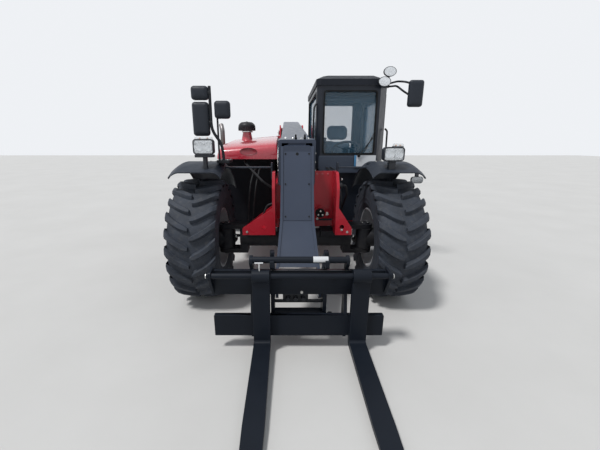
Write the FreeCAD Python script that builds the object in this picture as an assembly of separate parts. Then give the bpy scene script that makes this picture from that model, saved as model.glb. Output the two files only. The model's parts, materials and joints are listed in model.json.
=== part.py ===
import FreeCAD, Part
import math
import os

V = FreeCAD.Vector

# Directions: x to the machine's left, y rearwards from the front axle, z up from the ground.
# Lengths are millimetres and angles are degrees.

# Overall size and wheels
wheelbase = 2810
overall_width = 2390
tyre_diameter = 1250
tyre_width = 460
rim_diameter = 610
axle_height = tyre_diameter / 2
track_half = (overall_width - tyre_width) / 2
seat_gap = 0.3
moving_gap = 6

# Heights of the frame and of all it carries are given for tyres of this diameter, and rise with larger ones
frame_tyre_diameter = 1250
rise = tyre_diameter - frame_tyre_diameter
axle_level = axle_height - rise

# Flat facets round a tyre, rim or guard, and round smaller turned pieces
wheel_facets = 18
small_facets = 16
tube_facets = 8

# Tyres
lug_count = 22
lug_height = 38
lug_width = 56
lug_slant = 0.62
lug_centre_gap = 8
bead_half = 188
shoulder_drop = 16

# Axles and steering
kingpin_x = track_half - 230
kingpin_radius = 35
kingpin_length = 44
knuckle_half = 105
knuckle_radius = 85
spindle_radius = 60
yoke_plate = 44
yoke_reach = 152
yoke_web = 80
yoke_half = 75
beam_radius = 95
differential_radius = 165
trunnion_radius = 45
hanger_plate = 18
arm_reach = 225
arm_inset = 45
arm_plate = 25
arm_drop = 100
steering_rod_radius = 18
steering_rod_z = -arm_drop + arm_plate + steering_rod_radius + 6
steering_barrel_radius = 38
steering_barrel_half = 300

# Chassis
rail_inner = 195
rail_plate = 25
rail_outer = rail_inner + rail_plate
foot_bottom = axle_level + beam_radius
front_bottom = foot_bottom + 60
front_plate_y = -250
front_plate_left = 400
front_plate_right = -220
front_plate_top = 1330
front_plate = 28
cross_top = 1195
foot_plate = 22
outrigger_ys = (950, 1850)
outrigger_size = 100
floor_level = 600
pivot_y = 3050
pivot_level = 1800
pivot_z = pivot_level + rise

# Boom
boom_slope = 6.4
boom_width = 300
boom_height = 380
boom_wall = 12
boom_length = 3371
boom_tail = 180
inner_width = 250
inner_height = 320
inner_start = 560
inner_end = 3425
pad_length = 110
pivot_pin_radius = 40
lift_pin_radius = 30
lift_base_y = 2150
lift_base_level = 500
lift_base_z = lift_base_level + rise
lift_eye_along = 600
lift_eye_below = 360
ear_gap = 150
ear_plate = 25
lift_barrel_radius = 62
lift_rod_radius = 36
lift_barrel_length = 880

# Boom head and attachment
tilt_y = -860
tilt_z = 450
tilt_pin_radius = 30
head_plate = 22
ear_half = 183
coupler_half = 190
coupler_plate = 30
carriage_lean = 2
hook_tube_y = -1030
hook_tube_z = 770
hook_tube_radius = 25
side_plate_x = 360
side_plate = 25
bar_height = 200
upper_bar_width = 1340
lower_bar_width = 1320
fork_shaft_radius = 22
fork_shaft_y = -1085
fork_shaft_z = 665
fork_thickness = 50
fork_width = 130
fork_length = 1200
fork_tip_width = 100
fork_tip_thickness = 14
fork_heel_z = 62
fork_heel_radius = 25
fork_places = (-285, 456)

# Cab
cab_inner = 270
cab_outer = overall_width / 2 - 55
cab_front = 740
cab_rear = 2200
cab_low_front = 840
cab_low_rear = 1990
cab_waist = 1290
cab_top = 2260
roof_top = 2380
cab_wall = 45
glass_plate = 6
door_front = 900
door_rear = 1930
door_bottom = 640
door_top = 2215
window_top = 2200
door_hinge_x = cab_outer + 14
door_hinge_y = door_rear - moving_gap
door_hinge_radius = 12
door_hinge_levels = (900, 2000)
column_lean = 33
column_length = 250
wheel_ring_radius = 175
wheel_grip_radius = 15
roof_overhang = 12
guard_bars = 6
guard_bar_radius = 13

# Engine side
hood_inner = -200
hood_split = 1400
hood_rear = 3050
hood_wall = 10
hood_top = 1700
hood_bottom = 1431
hood_outer = 290 - overall_width / 2
hood_edge = -240
hood_hinge_x = -230
hood_hinge_z = hood_top - 2
hood_hinge_radius = 8
hood_hinge_ys = (1490, 2920)
hinge_lug = 25
engine_outer = hood_outer - 25
intake_place = (-630, 1200)
engine_front = 830
engine_rear = 1980
engine_cover_top = 1425
cover_wall = 18
exhaust_x = engine_outer - 55
exhaust_y = 1310

# Tow hitch
tow_pin_y = 3768
tow_pin_radius = 16.5

# Mudguards
guard_radius = tyre_diameter / 2 + 175
guard_thickness = 10
guard_inner = track_half - 260
guard_outer = overall_width / 2 - 5
guard_crown = 55
guard_facet_angle = 10
front_guard_ahead = 26
front_guard_behind = 52


def corner_point(corner):
    """The two coordinates of a corner."""
    return FreeCAD.Vector(corner[0], corner[1], 0)


def outline(corners):
    """Closed wire in the XY plane through corners (u, v) or (u, v, radius), each radius as an arc."""
    starts, ends, arcs = [], [], []
    count = len(corners)
    for index, corner in enumerate(corners):
        here = corner_point(corner)
        back = corner_point(corners[index - 1]) - here
        ahead = corner_point(corners[(index + 1) % count]) - here
        radius = corner[2] if len(corner) > 2 else 0
        if radius == 0:
            starts.append(here)
            ends.append(here)
            arcs.append(None)
            continue
        back.normalize()
        ahead.normalize()
        half = back.getAngle(ahead) / 2
        reach = radius / math.tan(half)
        middle = back + ahead
        middle.normalize()
        starts.append(here + back * reach)
        ends.append(here + ahead * reach)
        arcs.append(here + middle * (radius / math.sin(half) - radius))
    edges = []
    for index in range(count):
        if arcs[index] is not None:
            edges.append(Part.Arc(starts[index], arcs[index], ends[index]).toShape())
        after = starts[(index + 1) % count]
        if (after - ends[index]).Length > 0.001:
            edges.append(Part.LineSegment(ends[index], after).toShape())
    return Part.Wire(edges)


def plate_yz(corners, x0, x1):
    """Plate with its outline in (y, z), from x0 to x1."""
    face = Part.Face(outline(corners))
    face.Placement = FreeCAD.Placement(V(x0, 0, 0), FreeCAD.Rotation(V(1, 1, 1), 120))
    return face.extrude(V(x1 - x0, 0, 0))


def plate_xz(corners, y0, y1):
    """Plate with its outline in (x, z), from y0 to y1."""
    face = Part.Face(outline(corners))
    face.Placement = FreeCAD.Placement(V(0, y0, 0), FreeCAD.Rotation(V(1, 0, 0), 90))
    return face.extrude(V(0, y1 - y0, 0))


def plate_xy(corners, z0, z1):
    """Plate with its outline in (x, y), from z0 to z1."""
    face = Part.Face(outline(corners))
    face.translate(V(0, 0, z0))
    return face.extrude(V(0, 0, z1 - z0))


def block(x0, x1, y0, y1, z0, z1):
    """Rectangular block between two corners."""
    return Part.makeBox(x1 - x0, y1 - y0, z1 - z0, V(x0, y0, z0))


def rod_x(x0, x1, y, z, radius):
    """Round bar along x."""
    return Part.makeCylinder(radius, x1 - x0, V(x0, y, z), V(1, 0, 0))


def rod_y(x, y0, y1, z, radius):
    """Round bar along y."""
    return Part.makeCylinder(radius, y1 - y0, V(x, y0, z), V(0, 1, 0))


def rod_z(x, y, z0, z1, radius):
    """Round bar along z."""
    return Part.makeCylinder(radius, z1 - z0, V(x, y, z0), V(0, 0, 1))


def turned_flat(profile, count, start=0, sweep=360):
    """Solid of flat facets about the x axis from a closed list of (x, radius), in equal steps from an angle."""
    full = sweep == 360
    sections = []
    for index in range(count + (0 if full else 1)):
        angle = math.radians(start + sweep * index / count)
        sections.append([V(x, -r * math.sin(angle), r * math.cos(angle)) for x, r in profile])
    faces = []
    corner_count = len(profile)
    for index in range(count):
        near = sections[index]
        far = sections[(index + 1) % len(sections)]
        for k in range(corner_count):
            after = (k + 1) % corner_count
            corners = [near[k], near[after]]
            if profile[after][1] > 0:
                corners.append(far[after])
            if profile[k][1] > 0:
                corners.append(far[k])
            if len(corners) > 2:
                faces.append(Part.Face(Part.makePolygon(corners + corners[:1])))
    if not full:
        for section in (sections[0], sections[-1]):
            faces.append(Part.Face(Part.makePolygon(section + section[:1])))
    shell = Part.makeShell(faces)
    shell.sewShape()
    solid = Part.makeSolid(shell)
    if solid.Volume < 0:
        solid.reverse()
    return solid.removeSplitter()


def joined(shapes):
    """One shape from several that meet."""
    result = shapes[0].multiFuse(shapes[1:])
    return result.removeSplitter()


def without(shape, tools):
    """Shape with each tool cut away."""
    return shape.cut(Part.makeCompound(tools))


def together(shapes):
    """Separate solids in one piece."""
    solids = []
    for shape in shapes:
        solids += shape.Solids
    return Part.makeCompound(solids)


def mirrored(shape):
    """The same shape on the machine's other side."""
    return shape.mirror(V(0, 0, 0), V(1, 0, 0))


def bar(start, end, radius, sides=tube_facets):
    """Bar of several flat sides between two points."""
    run = end - start
    corners = []
    for index in range(sides + 1):
        angle = 2 * math.pi * (index + 0.5) / sides
        corners.append(V(radius * math.cos(angle), radius * math.sin(angle), 0))
    prism = Part.Face(Part.makePolygon(corners)).extrude(V(0, 0, run.Length))
    prism.Placement = FreeCAD.Placement(start, FreeCAD.Rotation(V(0, 0, 1), run))
    return prism


def bent_tube(points, radius, sides=tube_facets):
    """Tube of several flat sides through points, each run reaching into the bend."""
    pieces = []
    last = len(points) - 2
    for index, (start, end) in enumerate(zip(points, points[1:])):
        reach = V(end - start)
        reach.normalize()
        reach = reach * (radius * 0.6)
        first = start if index == 0 else start - reach
        second = end if index == last else end + reach
        pieces.append(bar(first, second, radius, sides))
    return joined(pieces)


def raised(shape):
    """Piece of the frame lifted with the tyres' size."""
    placed = shape.copy()
    placed.translate(V(0, 0, rise))
    return placed


def ruled_tower(sections):
    """Solid through horizontal rectangles, rows of (z, x0, x1, y0, y1) from the lowest up."""
    wires = []
    for z, x0, x1, y0, y1 in sections:
        wires.append(Part.makePolygon([V(x0, y0, z), V(x1, y0, z), V(x1, y1, z), V(x0, y1, z), V(x0, y0, z)]))
    return Part.makeLoft(wires, True, True)


def on_boom(shape):
    """Shape built level with the boom pivot at the origin, laid at the boom's slope."""
    placed = shape.copy()
    placed.rotate(V(0, 0, 0), V(1, 0, 0), boom_slope)
    placed.translate(V(0, pivot_y, pivot_z))
    return placed


def boom_point(along, below):
    """Point on the boom's middle plane, measured from the pivot along and below its centre line."""
    slope = math.radians(boom_slope)
    y = pivot_y - along * math.cos(slope) + below * math.sin(slope)
    z = pivot_z - along * math.sin(slope) - below * math.cos(slope)
    return V(0, y, z)


def leaned(shape):
    """Attachment piece turned about the tilt pivot to its parked lean."""
    placed = shape.copy()
    placed.rotate(V(0, tilt_y, tilt_z), V(1, 0, 0), carriage_lean)
    return placed


def at_wheel(shape, side, axle_y):
    """Shape built about the wheel centre with x outwards, put at its wheel."""
    placed = shape.copy() if side > 0 else mirrored(shape)
    placed.translate(V(side * track_half, axle_y, axle_height))
    return placed


def tyre():
    """Carcass ring with angled lugs, alternate on each half, turned to stand on the ends of two lugs."""
    half = tyre_width / 2
    radius = tyre_diameter / 2
    crown = radius - lug_height
    bead = rim_diameter / 2 + seat_gap
    side = ((bead_half, bead), (bead_half, bead + 22), (half - 4, bead + 125), (half - 30, crown - shoulder_drop))
    profile = list(side) + [(-x, r) for x, r in reversed(side)]
    solids = [turned_flat(profile, wheel_facets)]
    reach = lug_slant * half / 2 + lug_width / 2
    top = math.sqrt(radius ** 2 - reach ** 2)
    lug_side = ((lug_centre_gap, crown - shoulder_drop - 18), (lug_centre_gap, top), (half, top - 24),
                (half - 20, top - 84))
    corners = [V(x, -lug_slant * (half / 2 - x) - lug_width / 2, r) for x, r in lug_side]
    lug = Part.Face(Part.makePolygon(corners + corners[:1])).extrude(V(0, lug_width, 0))
    pitch = 360 / lug_count
    corner_angle = math.degrees(math.atan2(-corners[1].y, top))
    phase = pitch / 4 - corner_angle
    for hand in (1, -1):
        for index in range(lug_count):
            turn = phase + pitch * (index + (0 if hand > 0 else 0.5))
            one = lug.copy() if hand > 0 else mirrored(lug)
            one.rotate(V(0, 0, 0), V(1, 0, 0), turn)
            solids.append(one)
    return joined(solids)


def rim():
    """Rim with its flanges, dished disc and hub, bored for the spindle."""
    seat = rim_diameter / 2
    edge = bead_half + seat_gap
    profile = ((-edge - 9, seat + 19), (-edge, seat + 19), (-edge, seat), (edge, seat), (edge, seat + 19),
               (edge + 9, seat + 19), (edge + 9, seat - 8), (100, seat - 18), (60, 240), (60, 172), (146, 160),
               (165, 128), (165, 0), (-20, 0), (-20, 140), (44, 172), (44, 240), (76, seat - 18),
               (-edge - 9, seat - 8))
    return turned_flat(profile, wheel_facets).cut(rod_x(-21, 125, 0, 0, spindle_radius + seat_gap))


def knuckle(arm_side):
    """Steering knuckle about the wheel centre: king pins, carrier, spindle and steering arm."""
    pin_x = kingpin_x - track_half
    carrier = turned_flat(((pin_x - 20, 0), (pin_x - 20, 78), (pin_x + 60, 100), (-26, 100), (-26, 0)),
                          small_facets)
    spindle = rod_x(-30, 120, 0, 0, spindle_radius)
    core = bar(V(pin_x, 0, -knuckle_half), V(pin_x, 0, knuckle_half), knuckle_radius, small_facets)
    pin = rod_z(pin_x, 0, -knuckle_half - kingpin_length, knuckle_half + kingpin_length, kingpin_radius)
    tip_x = pin_x - arm_inset
    tip_y = arm_side * arm_reach
    lower = -arm_drop
    root_y = arm_side * 40
    arm = plate_xy(((tip_x - 34, tip_y - arm_side * 30), (tip_x - 34, tip_y + arm_side * 34, 30),
                    (tip_x + 34, tip_y + arm_side * 34, 30), (pin_x + 62, root_y), (pin_x - 62, root_y)),
                   lower, lower + arm_plate)
    return joined([carrier, spindle, core, pin, arm])


def axle(arm_side, trunnions):
    """Axle beam about its own middle with the differential, yokes, steering barrel and pads or trunnions."""
    neck = differential_radius + 45
    end = kingpin_x - yoke_reach
    beam = turned_flat(((-end, 0), (-end, beam_radius), (-neck, beam_radius), (-90, differential_radius),
                        (90, differential_radius), (neck, beam_radius), (end, beam_radius), (end, 0)),
                       small_facets)
    pieces = [beam]
    inner = knuckle_half + 5
    outer = inner + yoke_plate
    for side in (1, -1):
        near, far = sorted((side * (end - yoke_web), side * end))
        pieces.append(block(near, far, -yoke_half, yoke_half, -outer, outer))
        for low in (-outer, inner):
            cheek = plate_xy(((side * (end - yoke_web), -yoke_half), (side * (kingpin_x + 78), -yoke_half, 70),
                              (side * (kingpin_x + 78), yoke_half, 70), (side * (end - yoke_web), yoke_half)),
                             low, low + yoke_plate)
            pieces.append(cheek)
        if not trunnions:
            pad0, pad1 = sorted((side * 265, side * 505))
            pieces.append(block(pad0, pad1, -110, 110, 40, beam_radius))
    barrel_z = steering_rod_z
    barrel_y = arm_side * arm_reach
    pieces.append(rod_x(-steering_barrel_half, steering_barrel_half, barrel_y, barrel_z, steering_barrel_radius))
    for x in (-200, 200):
        y0, y1 = sorted((0, barrel_y))
        pieces.append(block(x - 20, x + 20, y0, y1, barrel_z - 20, barrel_z + 20))
    if trunnions:
        reach = differential_radius + hanger_plate + 8
        pieces.append(rod_y(0, -reach, reach, 0, trunnion_radius))
    body = joined(pieces)
    bores = [rod_z(side * kingpin_x, 0, -outer - 1, outer + 1, kingpin_radius + seat_gap) for side in (1, -1)]
    bores.append(rod_x(-steering_barrel_half - 1, steering_barrel_half + 1, barrel_y, barrel_z,
                       steering_rod_radius + seat_gap))
    return without(body, bores)


def steering_rod(arm_side):
    """Rod through the steering barrel with a ball stud standing over each knuckle arm."""
    arm_top = -arm_drop + arm_plate
    centre_z = steering_rod_z
    centre_y = arm_side * arm_reach
    stud_x = kingpin_x - arm_inset
    pieces = [rod_x(-stud_x, stud_x, centre_y, centre_z, steering_rod_radius)]
    for side in (1, -1):
        pieces.append(rod_z(side * stud_x, centre_y, centre_z - arm_plate / 2, centre_z + arm_plate / 2, 34))
        pieces.append(rod_z(side * stud_x, centre_y, arm_top + seat_gap, centre_z, 16))
    return joined(pieces)


def at_axle(shape, axle_y):
    """Shape built about an axle's middle, put at that axle."""
    placed = shape.copy()
    placed.translate(V(0, axle_y, axle_height))
    return placed


def chassis_frame():
    """Two rails with boom towers, the front frame, outriggers, belly plate and rear plate."""
    tower_front = pivot_y - 190
    tower_rear = pivot_y + 170
    rail = ((0, front_bottom), (0, 1150), (900, 1230), (2450, 1300), (tower_front, pivot_z + 130, 90),
            (tower_rear, pivot_z + 130, 110), (3420, 1250, 60), (3600, 1120), (3600, 640), (3380, 640),
            (3200, 860, 60), (2420, 860, 60), (2120, 430, 60), (780, 430, 60), (480, front_bottom, 60))
    pieces = []
    for side in (1, -1):
        x0, x1 = sorted((side * rail_inner, side * rail_outer))
        pieces.append(plate_yz(rail, x0, x1))
        near, far = sorted((side * (rail_inner - 30), side * rail_inner))
        pieces.append(bar(V(near, pivot_y, pivot_level), V(far, pivot_y, pivot_level), 90, small_facets))
    cross_bottom = foot_bottom + 110
    cross = ((front_plate_right, cross_top), (front_plate_left, cross_top), (front_plate_left + 30, cross_bottom),
             (front_plate_right - 30, cross_bottom))
    pieces.append(plate_xz(cross, 0, front_plate))
    wing = ((front_plate, front_plate_top, 15), (front_plate_y + 90, front_plate_top, 60),
            (front_plate_y, front_plate_top - 150, 60), (front_plate_y, foot_bottom), (-110, foot_bottom),
            (-70, cross_bottom, 30), (front_plate, cross_bottom))
    for x in (front_plate_right, front_plate_left):
        pieces.append(plate_yz(wing, x - front_plate / 2, x + front_plate / 2))
    feet = ((front_plate_right, -530), (front_plate_left, 550))
    for inner, outer in feet:
        lip = -20 if outer < 0 else 20
        gusset = plate_xz(((inner, foot_bottom + 265, 10), (inner + lip, foot_bottom + 265, 10),
                           (outer, foot_bottom + 70, 25), (outer, foot_bottom), (inner, foot_bottom)),
                          front_plate_y, front_plate_y + foot_plate)
        hole = rod_y((inner * 2 + outer) / 3, front_plate_y - 1, front_plate_y + foot_plate + 1,
                     foot_bottom + 80, 24)
        pieces.append(gusset.cut(hole))
        near, far = sorted((inner, outer))
        floor_top = foot_bottom + foot_plate
        pieces.append(block(near, far, front_plate_y, 110, foot_bottom, floor_top))
        web = plate_xz(((inner, foot_bottom + 240), (inner + lip, foot_bottom + 240), (outer, floor_top),
                        (inner, floor_top)), 60, 60 + foot_plate)
        pieces.append(web)
    pieces.append(block(front_plate_right, front_plate_left, front_plate, front_plate + 170, cross_bottom,
                        cross_bottom + front_plate))
    for y in (front_plate + 170, 480):
        pieces.append(block(-rail_inner, rail_inner, y, y + 20, cross_bottom, cross_bottom + 270))
    for y in outrigger_ys:
        low = floor_level - outrigger_size
        half = outrigger_size / 2
        end = engine_outer + cover_wall
        arm = plate_xz(((end, floor_level), (end, floor_level - 40), (-320, low),
                        (320, low), (cab_outer - 40, floor_level - 40), (cab_outer - 40, floor_level)),
                       y - half, y + half)
        pieces.append(arm)
    pieces.append(block(-rail_outer, rail_outer, 800, 2090, 430, 442))
    pieces.append(block(-rail_inner, rail_inner, 2640, 2665, 880, 1290))
    pieces.append(block(-rail_inner, rail_inner, 3380, 3405, 660, 1200))
    post = ((1440, 1200), (1425, hood_top - 40), (1425, hood_hinge_z + 8), (1555, hood_hinge_z + 8),
            (1555, hood_top - 40), (1560, 1200))
    pieces.append(plate_yz(post, -rail_outer, -rail_inner))
    for y in hood_hinge_ys:
        for start in (y - 40 - hinge_lug, y + 40):
            pieces.append(rod_y(hood_hinge_x, start, start + hinge_lug, hood_hinge_z, hood_hinge_radius))
            pieces.append(block(hood_hinge_x, -rail_inner - 1, start, start + hinge_lug, hood_hinge_z - 5,
                                hood_hinge_z + 5))
    pieces.append(bar(V(-rail_inner, 2780, 950), V(rail_inner, 2780, 950), 60, small_facets))
    hanger_low = axle_level - trunnion_radius - 20
    hanger = ((-rail_inner, 1000), (-rail_inner, 860), (-110, hanger_low, 30), (110, hanger_low, 30),
              (rail_inner, 860), (rail_inner, 1000))
    near = differential_radius + 3
    for start in (wheelbase - near - hanger_plate, wheelbase + near):
        pieces.append(plate_xz(hanger, start, start + hanger_plate))
    for side in (1, -1):
        x0, x1 = sorted((side * (ear_gap / 2 + 30), side * (ear_gap / 2 + 55)))
        lug = plate_yz(((lift_base_y - 110, 442), (lift_base_y - 70, lift_base_level + 75, 50),
                        (lift_base_y + 70, lift_base_level + 75, 50), (lift_base_y + 110, 442)), x0, x1)
        pieces.append(lug)
    frame = joined(pieces)
    tools = [rod_x(-400, 400, pivot_y, pivot_level, pivot_pin_radius + seat_gap),
             rod_x(-rail_inner, rail_inner, lift_base_y, lift_base_level, lift_pin_radius + seat_gap),
             rod_y(0, wheelbase - 200, wheelbase + 200, axle_level, trunnion_radius + seat_gap)]
    notch = kingpin_x - yoke_reach - yoke_web - moving_gap
    for near, far in ((-kingpin_x, -notch), (notch, kingpin_x)):
        tools.append(block(near, far, -yoke_half - moving_gap, 111, foot_bottom - 1, foot_bottom + 100))
    return without(frame, tools)


def front_panel():
    """Panel with the hydraulic port boss, standing on the frame's front plate beside the boom."""
    low = foot_bottom + 120
    inner = rail_inner - 10
    outer = front_plate_left - front_plate / 2 - seat_gap
    plate = plate_xz(((inner, low, 10), (outer, low, 10), (outer, front_plate_top, 10),
                      (inner, front_plate_top, 10)), -12 - seat_gap, -seat_gap)
    fold = block(inner, outer, -seat_gap, front_plate, cross_top + seat_gap, cross_top + 12)
    boss = bar(V(255, -45, 900), V(255, -12, 900), 62, small_facets)
    return joined([plate, fold, boss])


def outer_boom():
    """Hollow outer boom with its front collar, wear pads, pivot pin and the ears of the lift cylinder."""
    half_w = boom_width / 2
    half_h = boom_height / 2
    tube = plate_xz(((-half_w, -half_h, 25), (half_w, -half_h, 25), (half_w, half_h, 25), (-half_w, half_h, 25)),
                    -boom_length, boom_tail)
    collar_w = half_w + 20
    collar_h = half_h + 20
    collar = plate_xz(((-collar_w, -collar_h, 20), (collar_w, -collar_h, 20), (collar_w, collar_h, 20),
                       (-collar_w, collar_h, 20)), -boom_length, -boom_length + 120)
    hub = rod_x(-rail_inner + 31, rail_inner - 31, 0, 0, 85)
    pin = rod_x(-rail_outer - 20, rail_outer + 20, 0, 0, pivot_pin_radius)
    eye = -lift_eye_below
    ears = []
    for side in (1, -1):
        x0, x1 = sorted((side * (ear_gap / 2 + 1), side * (ear_gap / 2 + 1 + ear_plate)))
        ear = plate_yz(((-lift_eye_along - 210, -half_h + 5), (-lift_eye_along - 65, eye - 65, 60),
                        (-lift_eye_along + 65, eye - 65, 60), (-lift_eye_along + 230, -half_h + 5)), x0, x1)
        ears.append(ear)
        cap0, cap1 = sorted((side * (ear_gap / 2 + ear_plate), side * (ear_gap / 2 + ear_plate + 14)))
        ears.append(rod_x(cap0, cap1, -lift_eye_along, eye, lift_pin_radius + 14))
    body = joined([tube, collar, hub, pin] + ears)
    hollow_w = half_w - boom_wall
    hollow_h = half_h - boom_wall
    hollow = block(-hollow_w, hollow_w, -boom_length - 1, -200, -hollow_h, hollow_h)
    tail = block(-hollow_w, hollow_w, 100, boom_tail + 1, -hollow_h, hollow_h)
    body = without(body, [hollow, tail])
    pads = []
    front, back = -boom_length + 5, -boom_length + pad_length
    for side in (1, -1):
        z0, z1 = sorted((side * (inner_height / 2 + seat_gap), side * hollow_h))
        pads.append(block(-80, 80, front, back, z0, z1))
        x0, x1 = sorted((side * (inner_width / 2 + seat_gap), side * hollow_w))
        pads.append(block(x0, x1, front, back, -90, 90))
    return on_boom(joined([body] + pads))


def head_sections(inset_x, inset_y):
    """Rows of the boom head from the tilt ears up, narrowed by the insets."""
    # z, front y, rear y, half width
    rows = ((430, -905, -760, ear_half), (600, -800, -612, ear_half), (930 + rise, -530, -385, 152),
            (1250 + rise, -445, -325, 147), (1575 + rise, -362, -330, 147))
    return [(z, x - inset_x, y0 + inset_y, y1) for z, y0, y1, x in rows]


def inner_boom():
    """Hollow inner boom with its rear wear pads and the head that hangs in front of it."""
    half_w = inner_width / 2
    half_h = inner_height / 2
    tube = plate_xz(((-half_w, -half_h, 20), (half_w, -half_h, 20), (half_w, half_h, 20), (-half_w, half_h, 20)),
                    -inner_end, -inner_start)
    hollow = block(-half_w + boom_wall, half_w - boom_wall, -inner_end + 40, -inner_start + 1,
                   -half_h + boom_wall, half_h - boom_wall)
    pads = []
    room_w = boom_width / 2 - boom_wall - seat_gap
    room_h = boom_height / 2 - boom_wall - seat_gap
    for side in (1, -1):
        z0, z1 = sorted((side * (half_h - 4), side * room_h))
        pads.append(block(-80, 80, -inner_start - pad_length, -inner_start, z0, z1))
        x0, x1 = sorted((side * (half_w - 4), side * room_w))
        pads.append(block(x0, x1, -inner_start - pad_length, -inner_start, -90, 90))
    boom = on_boom(joined([tube.cut(hollow)] + pads))
    outer_rows = head_sections(0, 0)
    cheeks = []
    for side in (1, -1):
        rows = []
        for z, x, y0, y1 in outer_rows:
            x0, x1 = sorted((side * (x - head_plate), side * x))
            rows.append((z, x0, x1, y0, y1))
        cheek = ruled_tower(rows)
        x0, x1 = sorted((side * (ear_half - head_plate), side * ear_half))
        cheeks.append(joined([cheek, rod_x(x0, x1, tilt_y, tilt_z, 85)]))
    face_rows = head_sections(head_plate - 1, 13)[1:]
    face = ruled_tower([(z, -x, x, y0, y0 + 18) for z, x, y0, y1 in face_rows])
    back = ruled_tower([(z, -x, x, y1 - 14, y1) for z, x, y0, y1 in face_rows[1:4]])
    web = block(-ear_half + head_plate - 1, ear_half - head_plate + 1, -770, -640, 598, 616)
    head = joined([boom] + cheeks + [face, back, web])
    return head.cut(rod_x(-300, 300, tilt_y, tilt_z, tilt_pin_radius + seat_gap))


def lift_frame(shape):
    """Cylinder piece built up from its base pin along z, laid on the line to the boom's eye."""
    eye = boom_point(lift_eye_along, lift_eye_below)
    run = eye - V(0, lift_base_y, lift_base_z)
    placed = shape.copy()
    placed.rotate(V(0, 0, 0), V(1, 0, 0), math.degrees(math.atan2(-run.y, run.z)))
    placed.translate(V(0, lift_base_y, lift_base_z))
    return placed


def lift_length():
    """Length between the pins of the lift cylinder with the boom down."""
    run = boom_point(lift_eye_along, lift_eye_below) - V(0, lift_base_y, lift_base_z)
    return run.Length


def lift_barrel():
    """Cylinder barrel with its base eye and pin, bored for the rod."""
    tube = rod_z(0, 0, 60, lift_barrel_length, lift_barrel_radius)
    gland = rod_z(0, 0, lift_barrel_length - 60, lift_barrel_length, lift_barrel_radius + 8)
    eye = rod_x(-ear_gap / 2, ear_gap / 2, 0, 0, 62)
    pin = rod_x(-ear_gap / 2 - 56, ear_gap / 2 + 56, 0, 0, lift_pin_radius)
    body = joined([tube, gland, eye, pin])
    bore = rod_z(0, 0, 110, lift_barrel_length + 1, lift_rod_radius + seat_gap)
    return lift_frame(body.cut(bore))


def lift_rod():
    """Cylinder rod with its eye and pin between the boom's ears."""
    length = lift_length()
    shaft = rod_z(0, 0, 115, length - 20, lift_rod_radius)
    eye = rod_x(-ear_gap / 2 + 4, ear_gap / 2 - 4, 0, length, 48)
    pin = rod_x(-ear_gap / 2, ear_gap / 2, 0, length, lift_pin_radius)
    return lift_frame(joined([shaft, eye, pin]))


def quick_coupler():
    """Coupler cheeks on the tilt pin, hooked under the carriage tube and locked at its foot."""
    back = -988
    cheek = ((hook_tube_y - 46, hook_tube_z + 6, 8), (hook_tube_y - 46, 712, 20), (back, 705), (back, 190, 15),
             (-910, 175, 25), (-830, 330, 60), (-785, 420, 50), (-785, 520, 50), (-905, 740, 60),
             (-950, 822, 20), (-1004, 822, 8), (-1004, hook_tube_z))
    pieces = []
    for side in (1, -1):
        x0, x1 = sorted((side * coupler_half, side * (coupler_half + coupler_plate)))
        pieces.append(plate_yz(cheek, x0, x1))
        lock0, lock1 = sorted((side * (coupler_half + 5), side * (coupler_half + 95)))
        pieces.append(rod_x(lock0, lock1, -948, 225, 18))
    pieces.append(rod_x(-coupler_half - 10, coupler_half + 10, -925, 258, 40))
    pieces.append(rod_x(-coupler_half - coupler_plate - 25, coupler_half + coupler_plate + 25, tilt_y, tilt_z,
                        tilt_pin_radius))
    body = joined(pieces)
    seat = rod_x(-400, 400, hook_tube_y, hook_tube_z, hook_tube_radius + seat_gap)
    mouth = block(-400, 400, hook_tube_y - hook_tube_radius - seat_gap, hook_tube_y + hook_tube_radius + seat_gap,
                  hook_tube_z, 900)
    return leaned(without(body, [seat, mouth]))


def carriage():
    """Fork carriage: side plates, two bars, hook tube, fork shaft with its end plates, lock lugs."""
    pieces = []
    for side in (1, -1):
        x0, x1 = sorted((side * (side_plate_x - side_plate / 2), side * (side_plate_x + side_plate / 2)))
        pieces.append(plate_yz(((-1059, 120, 10), (-1059, 330, 10), (-1019, 480), (-1019, 700), (-1058, 745, 10),
                                (-1058, 790, 25), (-1000, 805, 25), (-960, 700, 40), (-945, 400, 40),
                                (-945, 135, 30)), x0, x1))
        lug0, lug1 = sorted((side * 240, side * 268))
        pieces.append(plate_yz(((-1040, 150), (-1040, 300), (-960, 290, 20), (-905, 250, 30), (-905, 190, 30),
                                (-960, 150, 20)), lug0, lug1))
        tip0, tip1 = sorted((side * (upper_bar_width / 2 - 20), side * upper_bar_width / 2))
        pieces.append(plate_yz(((-992, 480), (-1019, 480), (-1112, 640, 25), (-1112, 700, 20), (-992, 700)),
                               tip0, tip1))
    upper = plate_xz(((-upper_bar_width / 2, 480), (upper_bar_width / 2, 480),
                      (upper_bar_width / 2, 480 + bar_height, 8), (-upper_bar_width / 2, 480 + bar_height, 8)),
                     -1022, -992)
    lower = plate_xz(((-lower_bar_width / 2, 137, 8), (lower_bar_width / 2, 137, 8),
                      (lower_bar_width / 2, 137 + bar_height - 20, 8),
                      (-lower_bar_width / 2, 137 + bar_height - 20, 8)), -1060 + seat_gap, -1020)
    tube = rod_x(-side_plate_x, side_plate_x, hook_tube_y, hook_tube_z, hook_tube_radius)
    shaft = rod_x(-upper_bar_width / 2 - 16, upper_bar_width / 2 + 16, fork_shaft_y, fork_shaft_z,
                  fork_shaft_radius)
    body = joined(pieces + [upper, lower, tube, shaft])
    return leaned(body.cut(rod_x(-400, 400, -948, 225, 18 + seat_gap)))


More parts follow.
